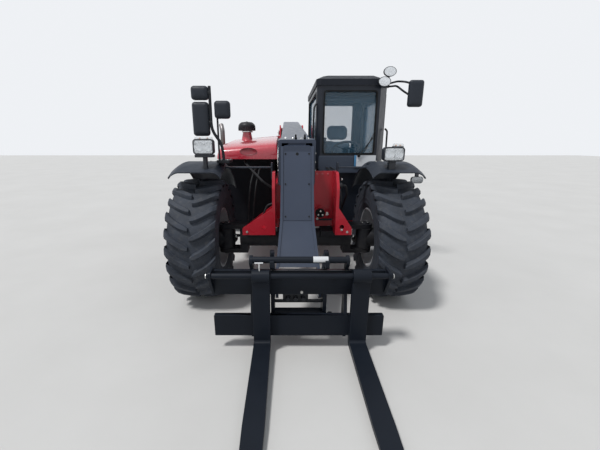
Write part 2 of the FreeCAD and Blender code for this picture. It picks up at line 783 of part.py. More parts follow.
def forks():
    """Two forks hung by an eye on the shaft, each with a shank, a heel and a tapered blade."""
    front = fork_shaft_y - fork_thickness / 2
    back = front + fork_thickness
    heel = fork_heel_z
    tip = front - fork_length
    pair = []
    for place in fork_places:
        half = fork_width / 2
        side = ((back, fork_shaft_z), (front, fork_shaft_z), (front, heel + fork_thickness, fork_heel_radius),
                (tip, heel + fork_tip_thickness + 8), (tip, heel + 8), (tip + 420, heel), (back, heel, 30))
        body = plate_yz(side, place - half, place + half)
        tip_half = fork_tip_width / 2
        plan = plate_xy(((place - half, back + 5), (place + half, back + 5), (place + half, front),
                         (place + half, tip + 500), (place + tip_half, tip, 25), (place - tip_half, tip, 25),
                         (place - half, tip + 500), (place - half, front)), -10, 900)
        eye = rod_x(place - half, place + half, fork_shaft_y, fork_shaft_z, 52)
        fork = joined([body.common(plan), eye])
        pair.append(fork.cut(rod_x(place - half - 1, place + half + 1, fork_shaft_y, fork_shaft_z,
                                   fork_shaft_radius + seat_gap)))
    return leaned(together(pair))


def cab_plan(inset):
    """Outline of the cab above the waist in (x, y), moved in by an inset."""
    slant = inset * 0.45
    return ((cab_inner + inset, cab_front + 40 + slant), (cab_inner + 50 + slant, cab_front + inset),
            (cab_outer - 120 - slant, cab_front + inset), (cab_outer - inset, door_front + 10 + slant),
            (cab_outer - inset, cab_rear - 70 - slant), (cab_outer - 80 - slant, cab_rear - inset),
            (cab_inner + inset, cab_rear - inset))


def windscreen(y0, y1):
    """Prism of the windscreen."""
    x0, x1 = cab_inner + 85, cab_outer - 160
    return plate_xz(((x0, 1475, 30), (x1, 1475, 30), (x1, window_top, 30), (x0, window_top, 30)), y0, y1)


def rear_window(y0, y1):
    """Prism of the rear window."""
    x0, x1 = cab_inner + 70, cab_outer - 140
    return plate_xz(((x0, 1500, 30), (x1, 1500, 30), (x1, window_top, 30), (x0, window_top, 30)), y0, y1)


def boom_side_window(x0, x1):
    """Prism of the window beside the boom."""
    y0, y1 = cab_front + 110, cab_rear - 110
    return plate_yz(((y0, 1400, 30), (y1, 1460, 30), (y1, window_top, 30), (y0, window_top, 30)), x0, x1)


def quarter_window(x0, x1):
    """Prism of the narrow window behind the door."""
    y0, y1 = door_rear + 60, cab_rear - 95
    return plate_yz(((y0, 1500, 20), (y1, 1500, 20), (y1, window_top, 20), (y0, window_top, 20)), x0, x1)


def door_windows(x0, x1):
    """Prisms of the upper and lower windows of the door."""
    y0, y1, top = door_front + 70, door_rear - 70, door_top - 75
    upper = plate_yz(((y0, 1330, 40), (y1, 1330, 40), (y1, top, 40), (y0, top, 40)), x0, x1)
    y0, y1 = door_front + 80, door_rear - 300
    lower = plate_yz(((y0, 760, 60), (y1, 760, 60), (y1, 1240, 60), (y0, 1240, 60)), x0, x1)
    return [upper, lower]


def cab_shell():
    """Hollow cab with its floor, pillars and window openings."""
    upper = plate_xy(cab_plan(0), cab_waist, cab_top)
    lower = block(cab_inner, cab_outer, cab_low_front, cab_low_rear, floor_level, cab_waist)
    inside_upper = plate_xy(cab_plan(cab_wall), cab_waist + 25, cab_top + 1)
    inside_lower = block(cab_inner + cab_wall, cab_outer - cab_wall, cab_low_front + cab_wall,
                         cab_low_rear - cab_wall, floor_level + cab_wall, cab_waist + 26)
    through = cab_wall + 1
    tools = [inside_upper, inside_lower, windscreen(cab_front - 1, cab_front + through),
             rear_window(cab_rear - through, cab_rear + 1), boom_side_window(cab_inner - 1, cab_inner + through),
             quarter_window(cab_outer - through, cab_outer + 1),
             plate_yz(door_corners(0, door_bottom), cab_outer - through, cab_outer + 1)]
    shell = without(joined([upper, lower]), tools)
    lugs = []
    for z in door_hinge_levels:
        for start in (z - 60 - seat_gap - hinge_lug, z + 60 + seat_gap):
            lugs.append(rod_z(door_hinge_x, door_hinge_y, start, start + hinge_lug, door_hinge_radius))
            lugs.append(block(cab_outer - 2, door_hinge_x + 6, door_hinge_y, door_rear + 40, start,
                              start + hinge_lug))
    return joined([shell] + lugs)


def cab_glass():
    """Front, rear, boom side, rear quarter and roof panes, each filling its opening."""
    near = (cab_wall - glass_plate) / 2
    far = near + glass_plate
    return together([windscreen(cab_front + near, cab_front + far), rear_window(cab_rear - far, cab_rear - near),
                     boom_side_window(cab_inner + near, cab_inner + far),
                     quarter_window(cab_outer - far, cab_outer - near),
                     roof_window(roof_top - 22, roof_top - 22 + glass_plate)])


def roof_window(z0, z1):
    """Prism of the window over the driver."""
    x0, x1 = cab_inner + 130, cab_outer - 150
    y0, y1 = cab_front + 150, cab_front + 900
    return plate_xy(((x0, y0, 40), (x1, y0, 40), (x1, y1, 40), (x0, y1, 40)), z0, z1)


def roof_plan(overhang):
    """Outline of the roof in (x, y), wider than the cab by an overhang on each side."""
    middle_x = (cab_inner + cab_outer) / 2
    middle_y = (cab_front + cab_rear) / 2
    return [(x + (overhang if x > middle_x else -overhang), y + (overhang if y > middle_y else -overhang))
            for x, y in cab_plan(0)]


def cab_roof():
    """Crowned roof with an opening over the driver and guard bars across it."""
    shoulder = cab_top + 70
    edge = plate_xy(roof_plan(roof_overhang), cab_top, shoulder)
    low = outline(roof_plan(roof_overhang))
    low.translate(V(0, 0, shoulder))
    high = outline(roof_plan(-80))
    high.translate(V(0, 0, roof_top))
    crown = Part.makeLoft([low, high], True, True)
    hollow = block(cab_inner + 90, cab_outer - 110, cab_front + 110, cab_rear - 100, cab_top - 1, cab_top + 55)
    body = without(joined([edge, crown]), [hollow, roof_window(cab_top - 1, roof_top + 1)])
    bars = []
    for index in range(guard_bars):
        y = cab_front + 150 + 750 * (index + 0.5) / guard_bars
        bars.append(bar(V(cab_inner + 115, y, cab_top + 72), V(cab_outer - 135, y, cab_top + 72),
                        guard_bar_radius))
    return joined([body] + bars)


def door_corners(inset, low):
    """Outline of the door in (y, z), moved in by an inset, from a lower edge."""
    return ((door_front + inset, low, 40), (door_rear - inset, low, 40),
            (door_rear - inset, door_top - inset, 40), (door_front + inset, door_top - inset, 40))


def cab_door():
    """Door panel with its upper and lower window openings, hinge straps and handle."""
    x0, x1 = cab_outer - cab_wall + 4, cab_outer
    panel = plate_yz(door_corners(moving_gap, door_bottom + moving_gap), x0, x1)
    pieces = [without(panel, door_windows(x0 - 1, x1 + 1))]
    for z in door_hinge_levels:
        pieces.append(rod_z(door_hinge_x, door_hinge_y, z - 60, z + 60, door_hinge_radius))
        pieces.append(block(cab_outer, door_hinge_x, door_hinge_y - 84, door_hinge_y, z - 40, z + 40))
    pieces.append(block(cab_outer, cab_outer + 28, door_front + 90, door_front + 210, 1270, 1300))
    return joined(pieces)


def door_glass():
    """Upper and lower door panes."""
    x0 = cab_outer - cab_wall / 2
    return together(door_windows(x0, x0 + glass_plate))


def seat():
    """Driver's seat: pedestal, cushion and back."""
    x = (cab_inner + cab_outer) / 2
    base = block(x - 170, x + 170, 1400, 1720, floor_level + cab_wall, 960)
    cushion = plate_yz(((1290, 960, 20), (1780, 960, 20), (1780, 1070, 30), (1290, 1085, 40)), x - 240, x + 240)
    back = plate_yz(((1720, 1050), (1830, 1050, 30), (1930, 1640, 40), (1850, 1660, 40), (1690, 1080)),
                    x - 230, x + 230)
    return joined([base, cushion, back])


def column_direction():
    """Direction of the steering column, leaning towards the driver."""
    lean = math.radians(column_lean)
    return V(0, math.sin(lean), math.cos(lean))


def dash_console():
    """Front console with the steering column."""
    x = (cab_inner + cab_outer) / 2
    front = cab_low_front + cab_wall
    console = plate_yz(((front, floor_level + cab_wall), (front, 1380, 30), (front + 120, 1400, 30),
                        (front + 170, 1200, 40), (front + 110, floor_level + cab_wall)), x - 210, x + 210)
    foot = V(x, front + 100, 1290)
    column = bar(foot, foot + column_direction() * column_length, 32, small_facets)
    panel = block(cab_inner + cab_wall, cab_inner + cab_wall + 140, 1340, 1800, floor_level + cab_wall, 1240)
    return together([joined([console, column]), panel])


def steering_wheel():
    """Rim, hub and three spokes on top of the column."""
    x = (cab_inner + cab_outer) / 2
    section = []
    for index in range(tube_facets):
        angle = 2 * math.pi * (index + 0.5) / tube_facets
        section.append((wheel_grip_radius * math.sin(angle),
                        wheel_ring_radius + wheel_grip_radius * math.cos(angle)))
    ring = turned_flat(section, wheel_facets)
    ring.rotate(V(0, 0, 0), V(0, 1, 0), 90)
    hub = bar(V(0, 0, -30), V(0, 0, 10), 38, small_facets)
    spokes = []
    for turn in (90, 210, 330):
        spoke = block(30, 170, -14, 14, -9, 3)
        spoke.rotate(V(0, 0, 0), V(0, 0, 1), turn)
        spokes.append(spoke)
    wheel = joined([ring, hub] + spokes)
    wheel.rotate(V(0, 0, 0), V(1, 0, 0), -column_lean)
    start = V(x, cab_low_front + cab_wall + 100, 1290)
    wheel.translate(start + column_direction() * (column_length + 30))
    return wheel


def hood_wire(y, top, outer, bottom, inset, inner):
    """Section of the hood in (x, z) at y, moved in by the wall."""
    wire = outline(((inner, bottom), (inner, top - inset, 30), (outer + inset, top - 55 - inset, 95 - inset),
                    (outer + inset, bottom)))
    wire.rotate(V(0, 0, 0), V(1, 0, 0), 90)
    wire.translate(V(0, y, 0))
    return wire


def hood_shell(rows, inner, closed_front, closed_rear):
    """Hood through rows of (y, top, outer x, bottom), open below, with end walls where asked."""
    body = Part.makeLoft([hood_wire(y, top, outer, bottom, 0, inner) for y, top, outer, bottom in rows],
                         True, True)
    first = rows[0][0] + (hood_wall if closed_front else -1)
    last = rows[-1][0] - (hood_wall if closed_rear else -1)
    cores = []
    for index, (y, top, outer, bottom) in enumerate(rows):
        place = first if index == 0 else last if index == len(rows) - 1 else y
        cores.append(hood_wire(place, top, outer, bottom - 40, hood_wall, inner + 1))
    return body.cut(Part.makeLoft(cores, True, True))


def hood_front():
    """Fixed front part of the engine hood with the neck of the air intake."""
    low = engine_cover_top
    body = hood_shell(((450, hood_top - 110, hood_outer, low), (650, hood_top - 60, hood_outer, low),
                       (hood_split, hood_top, hood_outer, low)), hood_inner, True, True)
    neck = turned_flat(((0, 0), (0, 75), (110, 55), (110, 0)), small_facets)
    neck.rotate(V(0, 0, 0), V(0, 1, 0), -90)
    neck.translate(V(*intake_place, hood_top - 65))
    return joined([body, neck])


def hood():
    """Hinged rear part of the engine hood with rear louvres and its two hinge barrels."""
    rows = ((hood_split + moving_gap, hood_top, hood_outer, hood_bottom),
            (hood_rear, hood_top, hood_outer, hood_bottom))
    body = hood_shell(rows, hood_edge, True, True)
    tools = []
    for index in range(6):
        z = 1460 + index * 36
        tools.append(block(hood_outer + 85, hood_edge - 90, hood_rear - 50, hood_rear + 50, z, z + 20))
    pieces = [without(body, tools)]
    for y in hood_hinge_ys:
        y0, y1 = y - 40 + seat_gap, y + 40 - seat_gap
        pieces.append(rod_y(hood_hinge_x, y0, y1, hood_hinge_z, hood_hinge_radius))
        pieces.append(block(hood_edge - 14, hood_hinge_x, y0, y1, hood_top - hood_wall, hood_hinge_z + 3))
    return joined(pieces)


def engine_cover():
    """Side cover of the engine bay with louvres, and its front and rear walls."""
    inner = -rail_outer - 20
    outer_box = plate_xy(((engine_outer, engine_front, 60), (inner, engine_front), (inner, engine_rear),
                          (engine_outer, engine_rear, 60)), floor_level - 60, engine_cover_top)
    wall = cover_wall
    core = block(engine_outer + wall, inner + 1, engine_front + wall, engine_rear - wall, floor_level - 61,
                 engine_cover_top + 1)
    slots = []
    for index in range(9):
        z = 900 + index * 48
        slots.append(block(engine_outer - 1, engine_outer + wall + 1, 1150, 1700, z, z + 22))
    return without(outer_box, [core] + slots)


def engine_block():
    """The engine as one plain block on the outriggers."""
    outer = engine_outer + 130
    inner = hood_inner - 100
    return plate_xz(((outer, floor_level), (inner, floor_level), (inner, 1250, 40), (inner - 120, 1340, 40),
                     (outer + 80, 1340, 40), (outer, 1250, 40)), 930, 1870)


def air_precleaner():
    """Round cap on the intake neck."""
    profile = ((0, 0), (0, 62), (20, 62), (22, 112), (62, 115), (96, 110), (128, 80), (134, 0))
    cap = turned_flat(profile, wheel_facets)
    cap.rotate(V(0, 0, 0), V(0, 1, 0), -90)
    cap.translate(V(*intake_place, hood_top + 45))
    return cap


def exhaust():
    """Upright exhaust beside the hood with its muffler and curved outlet."""
    x, y = exhaust_x, exhaust_y
    pipe = bent_tube([V(x, y, 1150), V(x, y, 1780), V(x - 25, y + 60, 1850)], 32, small_facets)
    can = bar(V(x, y, 1180), V(x, y, 1400), 50, small_facets)
    foot = block(x, engine_outer, y - 30, y + 30, 1250, 1330)
    return joined([pipe, can, foot])


def hydraulic_tank():
    """Tank behind the cab over the rear axle with its filler cap."""
    tank = plate_yz(((2290, 1430, 40), (3300, 1430, 60), (3300, 1560, 60), (3100, 1640, 60), (2290, 1640, 40)),
                    rail_outer, 700)
    cap = bar(V(560, 2500, 1640), V(560, 2500, 1680), 48, small_facets)
    return joined([tank, cap])


def cab_step():
    """Two treads hung under the door sill."""
    pieces = []
    for y in (1110, 1640):
        pieces.append(plate_yz(((y, floor_level - 40), (y, 330, 8), (y + 18, 330), (y + 18, floor_level - 40)),
                               cab_outer - 180, cab_outer - 20))
    for z in (338, 470):
        pieces.append(block(cab_outer - 175, cab_outer - 15, 1110, 1658, z, z + 25))
    pieces.append(block(cab_outer - 180, cab_outer - 45, 1000, 1800, floor_level - 52, floor_level - 40))
    return joined(pieces)


def mudguard(axle_y, side, front_angle, rear_angle, inner, outer):
    """Crowned sheet swept about the axle from the front angle to the rear one, measured from the top."""
    top = guard_radius
    low = top - guard_crown
    drop = guard_thickness
    section = ((inner, low), (inner + 70, top), (outer - 110, top), (outer, low), (outer, low - drop),
               (outer - 112, top - drop), (inner + 72, top - drop), (inner, low - drop))
    sweep = rear_angle + front_angle
    sheet = turned_flat(section, round(sweep / guard_facet_angle), -rear_angle, sweep)
    if side < 0:
        sheet = mirrored(sheet)
    sheet.translate(V(0, axle_y, axle_level))
    return sheet


def mudguards():
    """Arched mudguard over each tyre, each on a stay from the frame."""
    crown = axle_level + guard_radius
    under = crown - guard_thickness
    pieces = []
    for side, face in ((1, front_plate_left + front_plate / 2), (-1, front_plate_right - front_plate / 2)):
        stay0, stay1 = sorted((face, side * (guard_inner + 170)))
        foot0, foot1 = sorted((face, face + side * 16))
        pieces.append(joined([mudguard(0, side, front_guard_ahead, front_guard_behind, guard_inner, guard_outer),
                              block(stay0, stay1, -60, 20, under - 34, under + 1),
                              block(foot0, foot1, -60, 20, 1250, under + 1)]))
    for side in (1, -1):
        stay0, stay1 = sorted((side * rail_outer, side * (guard_inner + 170)))
        pieces.append(joined([mudguard(wheelbase, side, 55, 60, guard_inner + 20, guard_outer),
                              block(stay0, stay1, wheelbase - 30, wheelbase + 40, under - 34, under + 1)]))
    return together(pieces)


def headlamps():
    """Headlamp housings standing on the front mudguards, each with an indicator."""
    reach = guard_radius + seat_gap
    sweep = front_guard_ahead + front_guard_behind
    guard = turned_flat(((-overall_width, 0), (-overall_width, reach), (overall_width, reach), (overall_width, 0)),
                        round(sweep / guard_facet_angle), -front_guard_behind, sweep)
    guard.translate(V(0, 0, axle_level))
    x0, x1 = 25 - track_half, 213 - track_half
    right = plate_xz(((x0, 1500, 25), (x1, 1500, 25), (x1, 1640, 25), (x0, 1640, 25)), -330, -215)
    post = block(103 - track_half, 135 - track_half, -300, -240, 1350, 1505)
    x0, x1 = track_half - 180, track_half + 10
    left = plate_xz(((x0, 1440, 25), (x1, 1440, 25), (x1, 1570, 25), (x0, 1570, 25)), -330, -215)
    foot = block(track_half - 115, track_half - 55, -300, -240, 1350, 1445)
    indicator = block(track_half - 85, track_half + 5, -310, -240, 1568, 1602)
    return together([joined([right, post]).cut(guard), joined([left, foot, indicator]).cut(guard)])


def work_lamps():
    """Two oval lamps on the roof's front corner, one above its edge and one in front of it."""
    lamps = []
    face = cab_front - roof_overhang
    # x, z and the top of the bracket
    for x, z, bracket_top in ((cab_outer - 54, 2392, 2400), (cab_outer - 108, 2286, 2300)):
        lens = plate_xz(((x - 74, z - 54, 50), (x + 74, z - 54, 50), (x + 74, z + 54, 50), (x - 74, z + 54, 50)),
                        face - 78, face - 22)
        bracket = block(x - 16, x + 16, face - 22, face, 2272, bracket_top)
        if x > cab_outer - 120:
            bracket = joined([bracket, block(x - 60, x + 16, face - 22, face, 2272, 2300)])
        lamps.append(joined([lens, bracket]))
    return together(lamps)


def tail_lamps():
    """Lamp clusters on the counterweight's upper corners."""
    lamps = []
    for side in (1, -1):
        x0, x1 = sorted((side * 640, side * 860))
        lamps.append(block(x0, x1, 3640, 3700, 1120, 1215))
    return together(lamps)


def mirrors():
    """Right mirrors on their curved poles, left mirror on the cab's arm."""
    y = -150
    stay_top = axle_level + guard_radius - guard_thickness + 1
    base = 5 - guard_inner
    foot = block(base - 60, base + 60, y - 40, 20, stay_top, 1445)
    arm = bent_tube([V(base, y, 1440), V(base - 15, y, 1580), V(base - 100, y, 1710), V(base - 100, y, 2105)], 14)
    pole = bent_tube([V(base - 40, y, 1440), V(base - 40, y, 1830)], 9)
    heads = []
    # outer x, inner x, low z and high z of each mirror, x measured from the foot's middle
    for outer, inner, low, high in ((-270, -115, 1667, 1970), (-270, -112, 1985, 2107), (-64, 82, 1822, 1980)):
        x0, x1 = base + outer, base + inner
        heads.append(plate_xz(((x0, low, 20), (x1, low, 20), (x1, high, 20), (x0, high, 20)), y - 32, y + 20))
    ties = [block(base - 120, base - 95, y - 12, y + 12, z, z + 20) for z in (1780, 2040)]
    right = joined([foot, arm, pole] + heads + ties)
    left_y = 640
    x0, x1 = cab_outer + 170, cab_outer + 340
    head = plate_xz(((x0, 2010, 25), (x1, 2010, 25), (x1, 2300, 25), (x0, 2300, 25)), left_y - 30, left_y + 25)
    side_face = cab_outer + roof_overhang
    foot = block(side_face, side_face + 16, 905, 950, 2262, 2328)
    upper = bent_tube([V(side_face + 12, 928, 2310), V(cab_outer + 60, 720, 2300),
                       V(cab_outer + 200, left_y, 2262)], 11)
    lower = bent_tube([V(side_face + 12, 928, 2276), V(cab_outer + 55, 720, 2252),
                       V(cab_outer + 200, left_y, 2130)], 11)
    left = joined([head, foot, upper, lower])
    return together([right, left])


def counterweight():
    """Cast rear weight: a neck between the wheels and a full width bumper."""
    plan = plate_xy(((-360, 3405), (360, 3405), (360, 3600, 20), (900, 3625, 30), (900, 3700, 40), (760, 3745, 40),
                     (-760, 3745, 40), (-900, 3700, 40), (-900, 3625, 30), (-360, 3600, 20)), 640, 1120)
    slots = [block(-rail_outer - 1, -rail_inner + 1, 3400, 3601, 600, 1300),
             block(rail_inner - 1, rail_outer + 1, 3400, 3601, 600, 1300)]
    return without(plan, slots)


def tow_hitch():
    """Clevis hitch under the counterweight, bored for a drawbar pin."""
    root, jaw, lip = 3560, 3680, 3810
    clevis = plate_yz(((root, 640), (root, 560), (jaw - 30, 480, 20), (lip, 480, 20), (lip, 515), (jaw, 515),
                       (jaw, 600), (lip, 600), (lip, 640, 20)), -70, 70)
    return clevis.cut(rod_z(0, tow_pin_y, 479, 641, tow_pin_radius))


def number_plate():
    """Blank plate on the cab's front panel."""
    return block(cab_outer - 394, cab_outer - 124, cab_front - 8, cab_front, 1300, 1460)


def build_nodes():
    """All pieces by name, in the machine's own frame."""
    on_frame = {
        "chassis_frame": chassis_frame(),
        "front_panel": front_panel(),
        "engine_block": engine_block(),
        "engine_cover": engine_cover(),
        "hood_front": hood_front(),
        "hood": hood(),
        "air_precleaner": air_precleaner(),
        "exhaust": exhaust(),
        "hydraulic_tank": hydraulic_tank(),
        "cab_step": cab_step(),
        "cab_shell": cab_shell(),
        "cab_roof": cab_roof(),
        "cab_glass": cab_glass(),
        "cab_door": cab_door(),
        "door_glass": door_glass(),
        "seat": seat(),
        "dash_console": dash_console(),
        "steering_wheel": steering_wheel(),
        "mudguards": mudguards(),
        "headlamps": headlamps(),
        "work_lamps": work_lamps(),
        "tail_lamps": tail_lamps(),
        "mirrors": mirrors(),
        "counterweight": counterweight(),
        "tow_hitch": tow_hitch(),
        "number_plate": number_plate(),
    }
    nodes = {name: raised(shape) for name, shape in on_frame.items()}
    nodes.update({
        "front_axle": at_axle(axle(1, False), 0),
        "rear_axle": at_axle(axle(-1, True), wheelbase),
        "steering_rod_front": at_axle(steering_rod(1), 0),
        "steering_rod_rear": at_axle(steering_rod(-1), wheelbase),
        "outer_boom": outer_boom(),
        "inner_boom": inner_boom(),
        "lift_barrel": lift_barrel(),
        "lift_rod": lift_rod(),
        "quick_coupler": quick_coupler(),
        "carriage": carriage(),
        "forks": forks(),
    })
    one_tyre = tyre()
    one_rim = rim()
    # corner name, side, axle y, side of the steering arm
    corners = (("front_left", 1, 0, 1), ("front_right", -1, 0, 1), ("rear_left", 1, wheelbase, -1),
               ("rear_right", -1, wheelbase, -1))
    for name, side, axle_y, arm_side in corners:
        nodes["tyre_" + name] = at_wheel(one_tyre, side, axle_y)
        nodes["rim_" + name] = at_wheel(one_rim, side, axle_y)
        nodes["knuckle_" + name] = at_wheel(knuckle(arm_side), side, axle_y)
    return nodes


def origin_of(nodes):
    """Middle of the machine's box in x and y, on the ground."""
    box = FreeCAD.BoundBox()
    for shape in nodes.values():
        box.add(shape.optimalBoundingBox(False))
    return V((box.XMin + box.XMax) / 2, (box.YMin + box.YMax) / 2, box.ZMin)


def main():
    """Write one STEP file per piece, with the origin at the middle of the base."""
    nodes = build_nodes()
    origin = origin_of(nodes)
    os.makedirs("parts", exist_ok=True)
    for name, shape in nodes.items():
        placed = shape.copy()
        placed.translate(origin * -1)
        placed.exportStep("parts/" + name + ".step")
        print(name, len(placed.Solids), placed.isValid(), round(placed.Volume / 1e6, 2))
    print("origin", origin)


if __name__ == "__main__":
    main()
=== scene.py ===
import json
import math

import bmesh
import bpy
import numpy as np
from mathutils import Matrix, Vector


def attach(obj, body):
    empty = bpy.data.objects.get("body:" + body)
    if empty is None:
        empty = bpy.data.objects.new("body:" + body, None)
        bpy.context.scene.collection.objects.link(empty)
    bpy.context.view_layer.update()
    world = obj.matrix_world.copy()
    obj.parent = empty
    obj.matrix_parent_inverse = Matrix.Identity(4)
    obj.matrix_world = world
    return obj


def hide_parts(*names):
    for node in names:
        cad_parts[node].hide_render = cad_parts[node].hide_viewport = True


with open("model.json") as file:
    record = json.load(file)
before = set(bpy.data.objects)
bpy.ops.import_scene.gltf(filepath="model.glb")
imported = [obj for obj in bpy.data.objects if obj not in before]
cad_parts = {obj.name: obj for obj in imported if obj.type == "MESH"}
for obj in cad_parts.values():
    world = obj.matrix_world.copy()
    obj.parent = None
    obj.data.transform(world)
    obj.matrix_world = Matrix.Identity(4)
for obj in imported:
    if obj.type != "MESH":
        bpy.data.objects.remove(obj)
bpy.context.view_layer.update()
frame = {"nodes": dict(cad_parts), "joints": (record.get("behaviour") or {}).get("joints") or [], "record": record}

# Lengths are metres. x runs to the machine's left, y rearwards from the front axle, z up from the ground.
AXLE_HEIGHT = 0.625
TRACK_HALF = 0.965
WHEELBASE = 2.81
TYRE_RADIUS = 0.625
TYRE_HALF = 0.23
RIM_RADIUS = 0.305
LUG_COUNT = 22
LUG_HEIGHT = 0.038
KINGPIN_X = 0.735
BOOM_SLOPE = math.radians(6.4)
BOOM_PIVOT = Vector((0, 3.05, 1.80))
TILT_PIN = Vector((0, -0.86, 0.45))
CARRIAGE_LEAN = math.radians(2)
CAB_INNER, CAB_OUTER = 0.27, 1.14
CAB_MIDDLE = (CAB_INNER + CAB_OUTER) / 2
COLUMN_LEAN = math.radians(33)
BOOM_LENGTH = 3.371
ENGINE_OUTER, HOOD_OUTER = -0.930, -0.905
HOOD_INNER, HOOD_LOW, HOOD_SPLIT = -0.200, 1.425, 1.400
INTAKE = (-0.630, 1.200, 1.745)
EXHAUST = (-0.985, 1.310)
GUARD_RADIUS, GUARD_CROWN, GUARD_THICKNESS, GUARD_OUTER = 0.800, 0.055, 0.010, 1.190
MIRROR_Y = -0.150
LUG_PHASE = math.radians(-4.64)
ROD_REACH = 0.225
PORTS = (0.255, 0.900)
TANK_CAP = (0.56, 2.50)
LEVER = (CAB_INNER + 0.10, 1.62)
BACK_FOOT = (0, 1.783, 1.070)
BACK_LEAN = math.atan2(0.105, 0.59)
FRAME_LEFT, FRAME_RIGHT = 0.414, -0.234
NUT_COUNT, NUT_CIRCLE = 10, 0.205
NOSE_MIDDLE = (-0.531, 1.512)
WIPER_PIVOT = (0.80, 0.738, 1.452)

# Rectangles seen from the front: lowest and highest x, lowest and highest z
RIGHT_MIRRORS = ((-0.970, -0.815, 1.667, 1.970), (-0.970, -0.812, 1.985, 2.107),
                 (-0.764, -0.618, 1.822, 1.980))
LEFT_MIRROR, LEFT_MIRROR_Y = (1.310, 1.480, 2.010, 2.300), 0.640
HEADLAMPS = ((-0.940, -0.752, 1.500, 1.640), (0.785, 0.975, 1.440, 1.570))
PLATE = (0.742, 1.020, 1.296, 1.464)

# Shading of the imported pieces: weld reach, and the angles that count as flat and as an edge
WELD_REACH = 0.00005
FLAT_ANGLE = math.radians(0.6)
CREASE_ANGLE = math.radians(33)

# Cushions
CLOTH_PRESSURE = 4
CLOTH_STEPS = 20
VOXEL = 0.007

# Camera of the photograph
PICTURE_WIDTH = 600
CAMERA_PLACE = Vector((-0.10, -3.20, 1.60))
CAMERA_DOWN = 14.75
FOCAL_PIXELS = 310
CENTRE_PIXEL = 286
SENSOR = 36.0

CORNERS = (("front_left", 1, 0.0), ("front_right", -1, 0.0), ("rear_left", 1, WHEELBASE),
        ("rear_right", -1, WHEELBASE))


def frame_offset():
    """What is added to a point of the machine to get it in the row frame."""
    for joint in frame["joints"]:
        if joint["name"] == "roll_front_left":
            return Vector(joint["pos_m"]) - Vector((TRACK_HALF, 0, AXLE_HEIGHT))
    raise ValueError("no front left wheel joint")


OFFSET = frame_offset()


# Materials

BLACK, WHITE = (0, 0, 0), (1, 1, 1)


def new_material(name, inputs):
    """Node material and its shader, with values for some of the shader's inputs."""
    material = bpy.data.materials.new(name)
    material.use_nodes = True
    shader = material.node_tree.nodes["Principled BSDF"]
    for key, value in inputs.items():
        shader.inputs[key].default_value = value
    return material, shader


def add_node(material, kind, inputs=None, **settings):
    """Node of a kind in a material or the world, with its settings and input values."""
    node = material.node_tree.nodes.new(kind)
    for key, value in settings.items():
        setattr(node, key, value)
    for key, value in (inputs or {}).items():
        node.inputs[key].default_value = value
    return node


def link(material, source, target):
    """Joins an output socket to an input socket."""
    material.node_tree.links.new(source, target)


def ramp(material, fac, stops):
    """Colour ramp over (place, colour) stops."""
    node = add_node(material, "ShaderNodeValToRGB")
    elements = node.color_ramp.elements
    while len(elements) < len(stops):
        elements.new(0.5)
    for element, (place, colour) in zip(elements, stops):
        element.position = place
        element.color = (*colour, 1)
    link(material, fac, node.inputs["Fac"])
    return node.outputs["Color"]


def noise(material, scale, detail=4.0, rough=0.6):
    """Noise over the object's own coordinates."""
    node = add_node(material, "ShaderNodeTexNoise", {"Scale": scale, "Detail": detail, "Roughness": rough})
    own_place(material, node)
    return node.outputs["Fac"]


def drift(material, scale, detail, first, last, start=0.3, end=0.7):
    """Colour that wanders between two over noise of a scale."""
    return ramp(material, noise(material, scale, detail), ((start, first), (end, last)))


def grey(level):
    """Colour with the same value in its three channels."""
    return (level,) * 3


def multiplied(material, first, second):
    """Product of two sockets."""
    node = add_node(material, "ShaderNodeMath", operation="MULTIPLY")
    link(material, first, node.inputs[0])
    link(material, second, node.inputs[1])
    return node.outputs[0]


def own_place(material, node):
    """Feeds the object's own coordinates to a texture node."""
    place = add_node(material, "ShaderNodeTexCoord")
    link(material, place.outputs["Object"], node.inputs["Vector"])


def mixed(material, fac, first, second):
    """Mix of two colours, each a socket or three numbers."""
    node = add_node(material, "ShaderNodeMix", data_type="RGBA")
    for socket, value in ((node.inputs[0], fac), (node.inputs[6], first), (node.inputs[7], second)):
        if isinstance(value, bpy.types.NodeSocket):
            link(material, value, socket)
        elif isinstance(value, (int, float)):
            socket.default_value = value
        else:
            socket.default_value = (*value, 1)
    return node.outputs[2]


def scaled(colour, factor):
    """Colour lighter or darker by a factor."""
    return tuple(min(1.0, channel * factor) for channel in colour)


def bumped(material, shader, height, strength, distance):
    """Bump from a height socket."""
    node = add_node(material, "ShaderNodeBump", {"Strength": strength, "Distance": distance})
    link(material, height, node.inputs["Height"])
    link(material, node.outputs["Normal"], shader.inputs["Normal"])


def low_dust(material, colour, dust, top, amount):
    """Colour with dust that fades out by a height above the ground, broken up by noise."""
    parts = add_node(material, "ShaderNodeSeparateXYZ")
    own_place(material, parts)
    fade = add_node(material, "ShaderNodeMapRange", {"From Min": top, "From Max": 0.0, "To Max": amount})
    link(material, parts.outputs["Z"], fade.inputs["Value"])
    patches = multiplied(material, fade.outputs[0], drift(material, 9.0, 6.0, BLACK, WHITE, 0.35))
    return mixed(material, patches, colour, dust)


def edge_mask(material, radius, strongest=1.0):
    """White on sharp edges, where a bevelled normal leaves the surface's own."""
    round_normal = add_node(material, "ShaderNodeBevel", {"Radius": radius}, samples=4)
    own = add_node(material, "ShaderNodeNewGeometry")
    alike = add_node(material, "ShaderNodeVectorMath", operation="DOT_PRODUCT")
    link(material, round_normal.outputs["Normal"], alike.inputs[0])
    link(material, own.outputs["Normal"], alike.inputs[1])
    return ramp(material, alike.outputs["Value"], ((0.90, grey(strongest)), (0.995, BLACK)))


DUST = (0.30, 0.27, 0.23)


